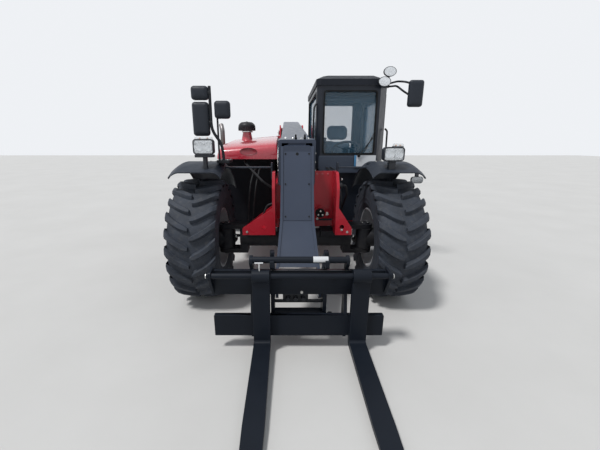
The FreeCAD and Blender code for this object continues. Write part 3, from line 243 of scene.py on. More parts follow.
def painted(name, colour, roughness=0.35, coat=0.0, wear=(0.25, 0.25, 0.26), dust=0.0, variation=0.12,
        texture=0.15, grain=420.0, shine=0.5):
    """Paint or moulded plastic: small colour drift, fine bump, worn edges and dust near the ground."""
    material, shader = new_material(name, {"Specular IOR Level": shine, "Coat Weight": coat,
            "Coat Roughness": 0.06})
    paint = drift(material, 2.3, 5.0, scaled(colour, 1 - variation), scaled(colour, 1 + variation))
    patches = drift(material, 22.0, 8.0, BLACK, grey(0.55), 0.45, 0.65)
    base = mixed(material, multiplied(material, edge_mask(material, 0.003), patches), paint, wear)
    if dust > 0:
        base = low_dust(material, base, DUST, 1.4, dust)
    link(material, base, shader.inputs["Base Color"])
    gloss = drift(material, 14.0, 6.0, grey(roughness * 0.8), grey(roughness * 1.25), end=0.75)
    link(material, gloss, shader.inputs["Roughness"])
    bumped(material, shader, noise(material, grain, 3.0), texture, 0.0004)
    return material


def rubber(name, colour, dust):
    """Tyre rubber: matt, with fine mould grain and dust in the low and worn places."""
    material, shader = new_material(name, {"Roughness": 0.72, "Specular IOR Level": 0.4})
    base = drift(material, 6.0, 7.0, scaled(colour, 0.75), scaled(colour, 1.35), end=0.72)
    base = mixed(material, edge_mask(material, 0.006, 0.5), base, scaled(colour, 2.2))
    base = mixed(material, drift(material, 30.0, 8.0, BLACK, grey(dust), 0.5, 0.75), base, DUST)
    link(material, base, shader.inputs["Base Color"])
    bumped(material, shader, noise(material, 260.0, 5.0), 0.35, 0.0008)
    return material


def metal(name, colour, roughness, grain=60.0, stain=None):
    """Bare metal with brushed variation and, where given, a stain colour."""
    material, shader = new_material(name, {"Metallic": 1.0})
    base = drift(material, 12.0, 6.0, scaled(colour, 0.85), scaled(colour, 1.1))
    if stain:
        base = mixed(material, drift(material, 5.0, 8.0, BLACK, WHITE, 0.42, 0.68), base, stain)
    link(material, base, shader.inputs["Base Color"])
    gloss = drift(material, grain, 4.0, grey(roughness * 0.7), grey(roughness * 1.4), end=0.75)
    link(material, gloss, shader.inputs["Roughness"])
    bumped(material, shader, noise(material, 300.0, 3.0), 0.12, 0.0003)
    return material


def glass(name, colour, alpha):
    """Tinted pane whose gloss grows towards glancing angles."""
    material, shader = new_material(name, {"Roughness": 0.03, "IOR": 1.6, "Specular IOR Level": 0.9})
    streaks = drift(material, 1.5, 2.0, scaled(colour, 0.95), scaled(colour, 1.05))
    link(material, streaks, shader.inputs["Base Color"])
    glance = add_node(material, "ShaderNodeLayerWeight", {"Blend": 0.35})
    spread = add_node(material, "ShaderNodeMapRange", {"To Min": alpha, "To Max": 0.85})
    link(material, glance.outputs["Fresnel"], spread.inputs["Value"])
    link(material, spread.outputs[0], shader.inputs["Alpha"])
    return material


def lens(name, colour, alpha):
    """Clear or tinted lamp lens with fine flutes."""
    material, shader = new_material(name, {"Roughness": 0.05, "Alpha": alpha, "Coat Weight": 1.0})
    link(material, drift(material, 18.0, 2.0, scaled(colour, 0.92), colour), shader.inputs["Base Color"])
    wave = add_node(material, "ShaderNodeTexWave", {"Scale": 55.0, "Distortion": 0.2}, bands_direction="X")
    own_place(material, wave)
    bumped(material, shader, wave.outputs["Fac"], 0.5, 0.0008)
    return material


def fabric(name, colour, weave=900.0):
    """Woven cloth with a sheen."""
    material, shader = new_material(name, {"Roughness": 0.9, "Sheen Weight": 0.4, "Sheen Roughness": 0.5})
    base = drift(material, 40.0, 6.0, scaled(colour, 0.7), scaled(colour, 1.3))
    link(material, base, shader.inputs["Base Color"])
    checks = add_node(material, "ShaderNodeTexChecker", {"Scale": weave})
    own_place(material, checks)
    bumped(material, shader, checks.outputs["Fac"], 0.4, 0.0006)
    return material


RED = (0.43, 0.012, 0.026)
HOOD_RED = (0.50, 0.026, 0.048)
BOOM = (0.043, 0.056, 0.088)
NEAR_BLACK = (0.009, 0.012, 0.018)
PLASTIC = (0.016, 0.019, 0.026)

MATERIALS = {
    "frame_red": painted("frame_red", RED, 0.32, coat=0.25, dust=0.04, variation=0.06, shine=0.25),
    "hood_red": painted("hood_red", HOOD_RED, 0.26, coat=1.0, variation=0.04),
    # Near-black with lowered gloss: partly the covers' own black, partly painted shade of the engine bay's recess
    # under the hood
    "cover_black": painted("cover_black", (0.008, 0.009, 0.013), 0.5, dust=0.04, shine=0.15),
    "axle_black": painted("axle_black", (0.010, 0.011, 0.015), 0.5, dust=0.10, shine=0.2),
    "rod_steel": metal("rod_steel", (0.78, 0.79, 0.80), 0.12),
    "engine_grey": painted("engine_grey", (0.045, 0.046, 0.050), 0.55, dust=0.1, shine=0.3),
    "intake_black": painted("intake_black", (0.013, 0.014, 0.017), 0.45, shine=0.3),
    "exhaust_steel": metal("exhaust_steel", (0.20, 0.19, 0.19), 0.45, stain=(0.12, 0.085, 0.065)),
    "tank_black": painted("tank_black", (0.012, 0.014, 0.018), 0.42, dust=0.1, shine=0.25),
    "cab_black": painted("cab_black", (0.014, 0.018, 0.027), 0.36, coat=0.1, shine=0.25),
    "roof_grey": painted("roof_grey", (0.012, 0.015, 0.022), 0.5, shine=0.2),
    "pane": glass("pane", (0.11, 0.25, 0.37), 0.17),
    "seat_fabric": fabric("seat_fabric", (0.13, 0.19, 0.25)),
    "console_plastic": painted("console_plastic", (0.045, 0.055, 0.070), 0.6, texture=0.4, grain=900.0),
    "guard_black": painted("guard_black", (0.020, 0.026, 0.038), 0.55, dust=0.06, texture=0.35, grain=700.0,
                           shine=0.3),
    "lamp_black": painted("lamp_black", PLASTIC, 0.45),
    "lamp_red": lens("lamp_red", (0.45, 0.02, 0.02), alpha=1.0),
    "mirror_black": painted("mirror_black", (0.018, 0.023, 0.032), 0.5, texture=0.35, grain=700.0,
                            shine=0.3),
    "weight_black": painted("weight_black", (0.014, 0.017, 0.022), 0.55, dust=0.1, texture=0.5, grain=260.0,
                            shine=0.3),
    "plate_white": painted("plate_white", (0.74, 0.76, 0.78), 0.4, variation=0.02, texture=0.0,
                           wear=(0.6, 0.6, 0.62)),
    "boom_grey": painted("boom_grey", BOOM, 0.36, coat=0.1, wear=(0.16, 0.18, 0.21), variation=0.06,
                         shine=0.3),
    "cylinder_black": painted("cylinder_black", (0.012, 0.014, 0.018), 0.4, shine=0.25),
    "attachment_black": painted("attachment_black", NEAR_BLACK, 0.42, wear=(0.10, 0.11, 0.13), shine=0.14),
    "tyre_rubber": rubber("tyre_rubber", (0.027, 0.033, 0.045), 0.10),
    "rim_grey": painted("rim_grey", (0.42, 0.43, 0.45), 0.4, dust=0.35),
}
CHROME = metal("chrome", (0.85, 0.86, 0.87), 0.08)
ZINC = metal("zinc", (0.62, 0.62, 0.60), 0.3)
DARK_STEEL = metal("dark_steel", (0.16, 0.165, 0.175), 0.35)
LAMP_LENS = lens("lamp_lens", (0.88, 0.92, 0.95), alpha=0.3)
AMBER_LENS = lens("amber_lens", (0.75, 0.28, 0.03), alpha=0.8)
MIRROR = metal("mirror", (0.80, 0.83, 0.86), 0.03)
CASTING = painted("casting", (0.014, 0.016, 0.020), 0.48, texture=0.5, grain=300.0, shine=0.25)
SATIN_BLACK = painted("satin_black", (0.011, 0.013, 0.017), 0.38, shine=0.25)
RUBBER_BLACK = painted("rubber_black", (0.013, 0.014, 0.016), 0.6, texture=0.3, grain=500.0, shine=0.25)
LABEL_WHITE = painted("label_white", (0.62, 0.63, 0.64), 0.45, variation=0.05)
CAB_PANEL = painted("cab_panel", (0.052, 0.066, 0.094), 0.42, variation=0.05, shine=0.3)
PLATE_BLUE = painted("plate_blue", (0.07, 0.24, 0.45), 0.35, variation=0.03)
# Darker copy of the hood red: painted shade standing in for a recess in the hood's nose
SHADED_NOSE_CAP = painted("nose_cap_painted_shade", scaled(HOOD_RED, 0.55), 0.3, coat=0.8, variation=0.04)
SCREEN = painted("screen", (0.010, 0.012, 0.016), 0.12)
SEAL = painted("seal", (0.006, 0.007, 0.008), 0.65, shine=0.2)
LINER = painted("liner", (0.05, 0.055, 0.062), 0.8)


# Mesh helpers

def piece(name, bm, body, slot_name, material=None, smooth=30):
    """Object from a bmesh in machine coordinates, put in the row frame and riding on a body."""
    mesh = bpy.data.meshes.new(name)
    bmesh.ops.recalc_face_normals(bm, faces=bm.faces)
    bm.to_mesh(mesh)
    bm.free()
    mesh.transform(Matrix.Translation(OFFSET))
    mesh.materials.append(material or MATERIALS[slot_name])
    made = bpy.data.objects.new(name, mesh)
    bpy.context.scene.collection.objects.link(made)
    if smooth:
        for polygon in mesh.polygons:
            polygon.use_smooth = True
        mesh.set_sharp_from_angle(angle=math.radians(smooth))
    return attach(made, body)


def soften(made, width, angle=30, segments=2):
    """Rounded edges with shading that stays flat on the faces."""
    bevel = made.modifiers.new("edges", "BEVEL")
    bevel.width = width
    bevel.segments = segments
    bevel.limit_method = "ANGLE"
    bevel.angle_limit = math.radians(angle)
    bevel.harden_normals = True
    return made


def smooth_group():
    """Geometry nodes that shade smoothly and keep edges sharp above an angle."""
    group = bpy.data.node_groups.new("smooth_by_angle", "GeometryNodeTree")
    group.interface.new_socket("Geometry", in_out="INPUT", socket_type="NodeSocketGeometry")
    group.interface.new_socket("Geometry", in_out="OUTPUT", socket_type="NodeSocketGeometry")
    nodes = group.nodes
    start, end = nodes.new("NodeGroupInput"), nodes.new("NodeGroupOutput")
    faces = nodes.new("GeometryNodeSetShadeSmooth")
    faces.domain = "FACE"
    faces.inputs["Shade Smooth"].default_value = True
    edges = nodes.new("GeometryNodeSetShadeSmooth")
    edges.domain = "EDGE"
    edges.inputs["Shade Smooth"].default_value = False
    angle = nodes.new("GeometryNodeInputMeshEdgeAngle")
    above = nodes.new("FunctionNodeCompare")
    above.data_type = "FLOAT"
    above.operation = "GREATER_THAN"
    above.inputs["B"].default_value = CREASE_ANGLE
    for source, target in ((start.outputs[0], faces.inputs["Geometry"]),
            (faces.outputs["Geometry"], edges.inputs["Geometry"]),
            (angle.outputs["Unsigned Angle"], above.inputs["A"]),
            (above.outputs["Result"], edges.inputs["Selection"]),
            (edges.outputs["Geometry"], end.inputs[0])):
        group.links.new(source, target)
    return group


def soften_cad(name, width, group, angle=35):
    """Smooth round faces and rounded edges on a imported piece, its flat faces made whole first."""
    made = frame["nodes"][name]
    weld = made.modifiers.new("weld", "WELD")
    weld.merge_threshold = WELD_REACH
    flat = made.modifiers.new("flat", "DECIMATE")
    flat.decimate_type = "DISSOLVE"
    flat.angle_limit = FLAT_ANGLE
    shade = made.modifiers.new("shade", "NODES")
    shade.node_group = group
    if width:
        soften(made, width, angle)


def around(count, radius, start=0.0):
    """Points (across, up) spaced evenly on a circle, the first one at an angle."""
    turns = [start + 2 * math.pi * index / count for index in range(count)]
    return [(radius * math.cos(turn), radius * math.sin(turn)) for turn in turns]


def facing(plane, u, v, n):
    """Place with u and v in a plane named by its normal, and n along that normal."""
    return {"x": (n, u, v), "y": (u, n, v), "z": (u, v, n)}[plane]


def rounded_outline(u0, u1, v0, v1, radius, steps=5):
    """Rectangle with its corners rounded by arcs, as (u, v) points."""
    points = []
    for u, v, start in ((u1 - radius, v1 - radius, 0), (u0 + radius, v1 - radius, 90),
            (u0 + radius, v0 + radius, 180), (u1 - radius, v0 + radius, 270)):
        for index in range(steps + 1):
            angle = math.radians(start + 90 * index / steps)
            points.append((u + radius * math.cos(angle), v + radius * math.sin(angle)))
    return points


def stack(bm, rings, ends="caps"):
    """Skin through rings of as many points, with caps on its ends, joined in a loop, or open."""
    rows = [[bm.verts.new(point) for point in ring] for ring in rings]
    pairs = list(zip(rows, rows[1:]))
    if ends == "loop":
        pairs.append((rows[-1], rows[0]))
    for low, high in pairs:
        for k in range(len(low)):
            after = (k + 1) % len(low)
            bm.faces.new((low[k], low[after], high[after], high[k]))
    if ends == "caps":
        bm.faces.new(rows[0])
        bm.faces.new(rows[-1])


def pillow(bm, plane, rect, radius, rows, ends="caps"):
    """Rounded rectangle (u0, u1, v0, v1) drawn along its normal through rows of (place, inset)."""
    u0, u1 = sorted(rect[:2])
    v0, v1 = rect[2:]
    rings = []
    for n, inset in rows:
        corner = max(radius - inset, 0.002)
        shape = rounded_outline(u0 + inset, u1 - inset, v0 + inset, v1 - inset, corner)
        rings.append([facing(plane, u, v, n) for u, v in shape])
    stack(bm, rings, ends)


def lathe(bm, profile, start, direction, steps=48, closed=False):
    """Surface turned about a line: profile rows of (along, radius)."""
    axis = Vector(direction).normalized()
    across = axis.orthogonal().normalized()
    other = axis.cross(across)
    spokes = [across * a + other * b for a, b in around(steps, 1)]
    rings = []
    for along, radius in profile:
        rings.append([Vector(start) + axis * along + spoke * max(radius, 0.00001) for spoke in spokes])
    stack(bm, rings, "loop" if closed else "open")


def slab(bm, low, high, radius=0.0, segments=2, turn=None):
    """Box between two corners with rounded edges, turned by a matrix where given."""
    low, high = Vector(low), Vector(high)
    made = bmesh.ops.create_cube(bm, size=1.0)["verts"]
    size = high - low
    for vert in made:
        vert.co = [part * abs(whole) for part, whole in zip(vert.co, size)]
    if radius > 0:
        edges = list({edge for vert in made for edge in vert.link_edges})
        made = bmesh.ops.bevel(bm, geom=edges, offset=radius, segments=segments, affect="EDGES",
                profile=0.5)["verts"] + [v for v in made if v.is_valid]
        made = list({v for v in made if v.is_valid})
    if turn is not None:
        bmesh.ops.transform(bm, matrix=turn.to_4x4(), verts=made)
    bmesh.ops.translate(bm, vec=(low + high) / 2, verts=made)
    return made


def block(bm, centre, half, radius, segments=2, turn=None):
    """Box about its middle with half sizes along each axis."""
    centre, half = Vector(centre), Vector(half)
    return slab(bm, centre - half, centre + half, radius, segments, turn)


def tube(bm, points, radius, sides=12, rounding=6):
    """Tube along points whose corners are rounded by a curve through the middles of the runs."""
    points = [Vector(point) for point in points]
    path = [points[0]]
    for before, corner, after in zip(points, points[1:], points[2:]):
        reach = min((corner - before).length, (after - corner).length) * 0.45
        first = corner + (before - corner).normalized() * reach
        last = corner + (after - corner).normalized() * reach
        for index in range(rounding + 1):
            t = index / rounding
            path.append(first * (1 - t) ** 2 + corner * 2 * t * (1 - t) + last * t ** 2)
    path.append(points[-1])
    tangent = (path[1] - path[0]).normalized()
    across = tangent.orthogonal().normalized()
    rings = []
    for index, point in enumerate(path):
        ahead = path[min(index + 1, len(path) - 1)] - path[max(index - 1, 0)]
        ahead.normalize()
        across = (across - ahead * across.dot(ahead)).normalized()
        other = ahead.cross(across)
        rings.append([point + (across * a + other * b) * radius for a, b in around(sides, 1)])
    stack(bm, rings)


def hex_bolt(bm, place, direction, size, washer=True):
    """Hexagon head on a washer, its foot at a place, standing along a direction."""
    direction = Vector(direction).normalized()
    foot = Vector(place)
    if washer:
        lathe(bm, ((0, 0), (0, size * 0.75), (size * 0.14, size * 0.75), (size * 0.14, 0)), foot, direction,
                20)
    lathe(bm, ((size * 0.1, 0), (size * 0.1, size * 0.56), (size * 0.58, size * 0.56),
            (size * 0.68, size * 0.46), (size * 0.68, 0)), foot, direction, 6)


# Wheels

def lug_station(t):
    """Lug's centre line at t from the tread's middle to its shoulder: x, sideways shift, radius."""
    x = 0.008 + (TYRE_HALF - 0.008) * t
    shift = -0.142 * (0.5 - t) - 0.016 * math.sin(math.pi * t)
    crown = TYRE_RADIUS - 0.0022 - 0.020 * t ** 2.4 - 0.022 * max(0, t - 0.86) / 0.14
    return x, shift, crown


def lug(bm, hand, turn, stations=9):
    """One tread lug with drafted sides, from the middle to the shoulder and down the side wall."""
    foot_radius = TYRE_RADIUS - LUG_HEIGHT - 0.020
    rows = []
    for index in range(stations):
        t = index / (stations - 1)
        x, shift, crown = lug_station(t)
        nose = 1 - 0.42 * max(0.0, 0.16 - t) / 0.16
        half = (0.0235 + 0.006 * t) * nose
        near, far = shift - half, shift + half
        rows.append([(x, near - 0.016, foot_radius), (x, near - 0.003, crown - 0.009),
                (x, near + 0.004, crown), (x, far - 0.004, crown), (x, far + 0.003, crown - 0.009),
                (x, far + 0.016, foot_radius)])
    end = TYRE_HALF - 0.013
    half = 0.028
    shift = rows[-1][2][1] + half
    foot = TYRE_RADIUS - 0.118
    near, far = shift - half, shift + half
    rows.append([(end, near - 0.014, foot - 0.004), (end + 0.004, near, foot),
            (end + 0.006, near + 0.004, foot), (end + 0.006, far - 0.004, foot), (end + 0.004, far, foot),
            (end, far + 0.014, foot - 0.004)])
    made = []
    for row in rows:
        ring = []
        for x, along, radius in row:
            angle = turn - along / radius
            ring.append(bm.verts.new((hand * x, -math.sin(angle) * radius, math.cos(angle) * radius)))
        made.append(ring)
    for low, high in zip(made, made[1:]):
        for k in range(5):
            bm.faces.new((low[k], low[k + 1], high[k + 1], high[k]))
    bm.faces.new(made[0])
    bm.faces.new(made[-1])


def template(name, bm):
    """Mesh of one wheel's part, about the wheel's centre."""
    mesh = bpy.data.meshes.new(name)
    bmesh.ops.recalc_face_normals(bm, faces=bm.faces)
    bm.to_mesh(mesh)
    bm.free()
    return mesh


def tyre_mesh():
    """Carcass with ribbed side walls and both rows of lugs, about the wheel's centre."""
    bm = bmesh.new()
    crown = TYRE_RADIUS - LUG_HEIGHT - 0.002
    bead = RIM_RADIUS + 0.001
    side = ((0.188, bead), (0.196, bead + 0.006), (0.200, bead + 0.022), (0.210, bead + 0.034),
            (0.219, bead + 0.060), (0.221, bead + 0.066), (0.219, bead + 0.072), (0.225, bead + 0.110),
            (0.2275, bead + 0.116), (0.225, bead + 0.122), (0.2275, bead + 0.150), (0.226, crown - 0.085),
            (0.220, crown - 0.052), (0.205, crown - 0.026), (0.170, crown - 0.010), (0.090, crown - 0.002),
            (0.0, crown))
    wall = list(side) + [(-x, r) for x, r in reversed(side[:-1])]
    lathe(bm, wall, (0, 0, 0), (1, 0, 0), 120, closed=True)
    pitch = 2 * math.pi / LUG_COUNT
    for hand in (1, -1):
        for index in range(LUG_COUNT):
            lug(bm, hand, LUG_PHASE + pitch * (index + (0 if hand > 0 else 0.5)))
    return template("tyre_template", bm)


def at_wheel(mesh, side, axle_y):
    """Copy of a wheel mesh put at its wheel, in a bmesh."""
    bm = bmesh.new()
    bm.from_mesh(mesh)
    if side < 0:
        bmesh.ops.scale(bm, vec=(-1, 1, 1), verts=bm.verts)
        bmesh.ops.reverse_faces(bm, faces=bm.faces)
    bmesh.ops.translate(bm, vec=(side * TRACK_HALF, axle_y, AXLE_HEIGHT), verts=bm.verts)
    return bm


def nuts_mesh():
    """Wheel nuts on their circle, hub cap bolts and the valve stem."""
    bm = bmesh.new()
    for y, z in around(NUT_COUNT, NUT_CIRCLE):
        hex_bolt(bm, (0.0605, y, z), (1, 0, 0), 0.030)
    for y, z in around(6, 0.100, math.pi / 6):
        hex_bolt(bm, (0.1655, y, z), (1, 0, 0), 0.016)
    tube(bm, ((0.13, 0, 0.275), (0.158, 0, 0.268), (0.176, 0, 0.262)), 0.004, 8, 3)
    return template("nuts_template", bm)


def wheels():
    """Detailed tyres and rims in place of the plain ones, with the hub and nuts of each wheel."""
    tyre, rim, hub, nuts = tyre_mesh(), rim_mesh(), hub_mesh(), nuts_mesh()
    for name, side, axle_y in CORNERS:
        body = "wheel_" + name
        made = piece("tread_" + name, at_wheel(tyre, side, axle_y), body, "tyre_rubber", smooth=38)
        soften(made, 0.004, 40, 1)
        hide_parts("tyre_" + name)
        made = piece("dish_" + name, at_wheel(rim, side, axle_y), body, "rim_grey", smooth=35)
        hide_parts("rim_" + name)
        piece("hub_" + name, at_wheel(hub, side, axle_y), body, "rim_grey", SATIN_BLACK, smooth=35)
        piece("nuts_" + name, at_wheel(nuts, side, axle_y), body, "rim_grey", ZINC)


# Shapes along the boom, the attachment and window planes

def on_boom(x, along, above):
    """Place measured along the boom from its pivot and above its centre line."""
    return Vector((x, BOOM_PIVOT.y - along * math.cos(BOOM_SLOPE) - above * math.sin(BOOM_SLOPE),
            BOOM_PIVOT.z - along * math.sin(BOOM_SLOPE) + above * math.cos(BOOM_SLOPE)))


def leaned(x, y, z):
    """Place on the attachment, turned about the tilt pin to its parked lean."""
    away = Vector((x, y, z)) - Vector((x, TILT_PIN.y, TILT_PIN.z))
    away.rotate(Matrix.Rotation(CARRIAGE_LEAN, 3, "X"))
    return Vector((x, TILT_PIN.y, TILT_PIN.z)) + away


def oval(bm, centre, half_x, half_z, rows, ends="caps", steps=40):
    """Ellipse facing along y drawn through rows of (y, share of its half sizes)."""
    rings = []
    for y, share in rows:
        ring = []
        for index in range(steps):
            angle = 2 * math.pi * index / steps
            ring.append((centre[0] + half_x * share * math.cos(angle), y,
                    centre[1] + half_z * share * math.sin(angle)))
        rings.append(ring)
    stack(bm, rings, ends)


def ball(bm, place, radius, steps=16):
    """Round knob."""
    rows = [(-radius * math.cos(math.pi * k / 8), radius * math.sin(math.pi * k / 8)) for k in range(9)]
    lathe(bm, rows, place, (0, 0, 1), steps)


def disc(bm, place, direction, radius, height, steps=24, chamfer=0.1):
    """Short round boss with a chamfered edge, standing along a direction."""
    cut = min(radius, height) * chamfer
    lathe(bm, ((0, 0), (0, radius), (height - cut, radius), (height, radius - cut), (height, 0)), place,
            direction, steps)


def bolts(name, body, slot_name, size, direction, places, material=None):
    """Hexagon bolts at places, all standing along one direction."""
    bm = bmesh.new()
    for place in places:
        hex_bolt(bm, place, direction, size)
    return piece(name, bm, body, slot_name, material or ZINC)


# Engine side

def precleaner():
    """Ribbed cap over a screened inlet on the intake neck."""
    x, y, base = INTAKE
    bm = bmesh.new()
    lathe(bm, ((0, 0), (0, 0.062), (0.018, 0.062), (0.022, 0.100), (0.022, 0.111), (0.060, 0.113),
            (0.066, 0.115), (0.088, 0.112), (0.100, 0.106), (0.118, 0.090), (0.130, 0.070), (0.1335, 0.040),
            (0.134, 0)), (x, y, base), (0, 0, 1), 64)
    for index in range(36):
        turn = Matrix.Rotation(2 * math.pi * index / 36, 3, "Z")
        centre = Vector((x, y, base + 0.043)) + turn @ Vector((0.1125, 0, 0))
        block(bm, centre, (0.0035, 0.0028, 0.019), 0.0008, 1, turn)
    disc(bm, (x, y, base + 0.132), (0, 0, 1), 0.014, 0.008)
    made = piece("precleaner_cap", bm, "chassis", "intake_black")
    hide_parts("air_precleaner")
    bm = bmesh.new()
    lathe(bm, ((0, 0.064), (0, 0.068), (0.012, 0.068), (0.012, 0.064)), (x, y, base + 0.002), (0, 0, 1), 48,
            closed=True)
    slab(bm, (x + 0.062, y - 0.006, base), (x + 0.078, y + 0.006, base + 0.016), 0.002)
    piece("precleaner_clamp", bm, "chassis", "intake_black", ZINC)


def exhaust_stack():
    """Exhaust pipe with a perforated heat shield, clamps and a slanted outlet."""
    x, y = EXHAUST
    bm = bmesh.new()
    tube(bm, ((x, y, 1.15), (x, y, 1.78), (x - 0.025, y + 0.06, 1.85)), 0.031, 28)
    slab(bm, (x, y - 0.03, 1.25), (ENGINE_OUTER, y + 0.03, 1.33), 0.003)
    made = piece("exhaust_pipe", bm, "chassis", "exhaust_steel")
    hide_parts("exhaust")
    bm = bmesh.new()
    lathe(bm, ((0, 0.034), (0, 0.050), (0.010, 0.054), (0.210, 0.054), (0.220, 0.050), (0.220, 0.034)),
            (x, y, 1.18), (0, 0, 1), 40, closed=True)
    for z in (1.215, 1.365):
        lathe(bm, ((0, 0.0535), (0, 0.0565), (0.014, 0.0565), (0.014, 0.0535)), (x, y, z), (0, 0, 1), 40,
                closed=True)
    piece("exhaust_can", bm, "chassis", "exhaust_steel")
    # Near-black discs on the heat shield: painted shade of its perforations
    bm = bmesh.new()
    for row in range(5):
        for index in range(14):
            turn = 2 * math.pi * (index + row % 2 / 2) / 14
            out = Vector((math.cos(turn), math.sin(turn), 0))
            disc(bm, Vector((x, y, 1.245 + row * 0.026)) + out * 0.0535, out, 0.0055, 0.0012, 10)
    piece("exhaust_holes_painted_shade", bm, "chassis", "exhaust_steel", SEAL)


def filleted(points, steps=8):
    """Outline whose corners may carry a radius as a third number, drawn as points."""
    made = []
    for index, corner in enumerate(points):
        spot = Vector(corner[:2])
        if len(corner) == 2:
            made.append(spot)
            continue
        before = (Vector(points[index - 1][:2]) - spot).normalized()
        after = (Vector(points[(index + 1) % len(points)][:2]) - spot).normalized()
        half = before.angle(after) / 2
        reach = corner[2] / math.tan(half)
        centre = spot + (before + after).normalized() * corner[2] / math.sin(half)
        first, last = spot + before * reach - centre, spot + after * reach - centre
        made += [centre + first.slerp(last, k / steps).normalized() * corner[2] for k in range(steps + 1)]
    return made


def hood_section(y, top, outer):
    """Section of the hood's front part at y."""
    shoulder = min(0.095, (top - 0.055 - HOOD_LOW) * 0.95)
    points = filleted(((HOOD_INNER, HOOD_LOW), (HOOD_INNER, top, 0.030), (outer, top - 0.055, shoulder),
            (outer, HOOD_LOW)))
    return [(x, y, z) for x, z in points]


def hood_details():
    """Front part of the hood with its oval cap in a darker red as painted shade of a recess, latches and the slats
    of the engine's side cover.
    """
    bm = bmesh.new()
    # y, top and how far the sides draw in
    rows = [(0.450, 1.500, 0.030), (0.452, 1.528, 0.022), (0.460, 1.555, 0.014), (0.476, 1.578, 0.007),
            (0.500, 1.594, 0.003), (0.535, 1.607, 0.0), (0.650, 1.640, 0.0), (HOOD_SPLIT, 1.700, 0.0)]
    stack(bm, [hood_section(y, top, HOOD_OUTER + inset) for y, top, inset in rows])
    lathe(bm, ((0, 0.001), (0, 0.085), (0.012, 0.076), (0.110, 0.056), (0.110, 0.001)),
            (INTAKE[0], INTAKE[1], 1.635), (0, 0, 1), 48, closed=True)
    made = piece("hood_nose", bm, "chassis", "hood_red", smooth=40)
    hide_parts("hood_front")
    bm = bmesh.new()
    # Oval cap in a darker red: painted shade of a recess in the hood's nose
    oval(bm, NOSE_MIDDLE, 0.100, 0.040, ((0.475, 0.99), (0.4475, 1.0), (0.4455, 0.97), (0.4470, 0.90),
            (0.4490, 0.84)))
    piece("nose_cap_painted_shade", bm, "chassis", "hood_red", SHADED_NOSE_CAP, smooth=50)
    bm = bmesh.new()
    for y in (0.62, 1.32):
        slab(bm, (HOOD_OUTER - 0.006, y, 1.435), (HOOD_OUTER + 0.004, y + 0.035, 1.50), 0.004)
    for y in (1.05, 1.80):
        slab(bm, (ENGINE_OUTER - 0.006, y, 1.355), (ENGINE_OUTER + 0.004, y + 0.05, 1.39), 0.004)
    piece("cover_latches", bm, "chassis", "cover_black", SEAL)
    bm = bmesh.new()
    for y in (1.75, 2.70):
        slab(bm, (HOOD_OUTER - 0.006, y, 1.445), (HOOD_OUTER + 0.004, y + 0.035, 1.51), 0.004)
    slab(bm, (HOOD_OUTER + 0.02, 3.048, 1.70 - 0.20), (-0.62, 3.056, 1.70 - 0.175), 0.003)
    piece("hood_latches", bm, "hood", "hood_red", SEAL)
    bm = bmesh.new()
    for index in range(9):
        z = 0.900 + index * 0.048
        turn = Matrix.Rotation(math.radians(-32), 3, "Y")
        slab(bm, (ENGINE_OUTER + 0.006, 1.152, z - 0.008), (ENGINE_OUTER + 0.009, 1.698, z + 0.026), 0, 1,
                turn)
    piece("cover_louvres", bm, "chassis", "cover_black")


# Mudguards, mirrors and lamps

def guard_section(inner, outer):
    """Closed section (x, radius) of a mudguard sheet with rounded shoulders."""
    top, under = [], []
    steps = 24
    for index in range(steps + 1):
        x = inner + (outer - inner) * index / steps
        rise_in = min(1.0, (x - inner) / 0.07)
        rise_out = min(1.0, (outer - x) / 0.11)
        share = min(math.sin(rise_in * math.pi / 2), math.sin(rise_out * math.pi / 2))
        radius = GUARD_RADIUS - GUARD_CROWN * (1 - share)
        top.append((x, radius))
        under.append((x, radius - GUARD_THICKNESS))
    return top + under[::-1]


def round_wheel(side, axle_y, ahead, behind, count, section):
    """Section (x, radius) carried round a wheel, from an angle behind its top to one ahead of it."""
    rings = []
    for index in range(count + 1):
        angle = math.radians(-behind + (ahead + behind) * index / count)
        rings.append([(side * x, axle_y - r * math.sin(angle), AXLE_HEIGHT + r * math.cos(angle)) for x,
                r in section])
    return rings


def mudguards():
    """Smooth mudguards with rolled lips, and their stays."""
    bm = bmesh.new()
    # axle y, angle ahead, angle behind, inner x
    for axle_y, ahead, behind, inner in ((0.0, 26, 52, 0.705), (WHEELBASE, 55, 60, 0.725)):
        section = guard_section(inner, GUARD_OUTER)
        lip = GUARD_RADIUS - GUARD_CROWN - 0.008
        for side in (1, -1):
            count = round((ahead + behind) / 2)
            stack(bm, round_wheel(side, axle_y, ahead, behind, count, section))
            for x in (inner + 0.004, GUARD_OUTER - 0.004):
                run = round_wheel(side, axle_y, ahead, behind, 12, ((x, lip),))
                tube(bm, [ring[0] for ring in run], 0.007, 8, 3)
    under = AXLE_HEIGHT + GUARD_RADIUS - GUARD_THICKNESS
    # side and the x of the frame's face there
    for side, face in ((1, FRAME_LEFT), (-1, FRAME_RIGHT)):
        slab(bm, (side * 0.720, -0.06, under - 0.056), (side * 0.875, 0.02, under - 0.001), 0.004)
        slab(bm, (face, -0.06, under - 0.056), (side * 0.730, 0.02, under - 0.042), 0.004)
        slab(bm, (face, -0.06, 1.25), (face + side * 0.016, 0.02, under - 0.001), 0.003)
        slab(bm, (side * 0.220, WHEELBASE - 0.03, under - 0.034),
                (side * 0.895, WHEELBASE + 0.04, under - 0.001), 0.004)
    made = piece("guard_sheets", bm, "chassis", "guard_black", smooth=35)
    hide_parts("mudguards")
    tops = [(side * x, y, AXLE_HEIGHT + GUARD_RADIUS - 0.002) for side in (1, -1) for x in (0.80, 0.86)
            for y in (-0.04, 0.0, WHEELBASE - 0.015, WHEELBASE + 0.025)]
    bolts("guard_bolts", "chassis", "guard_black", 0.013, (0, 0, 1), tops)


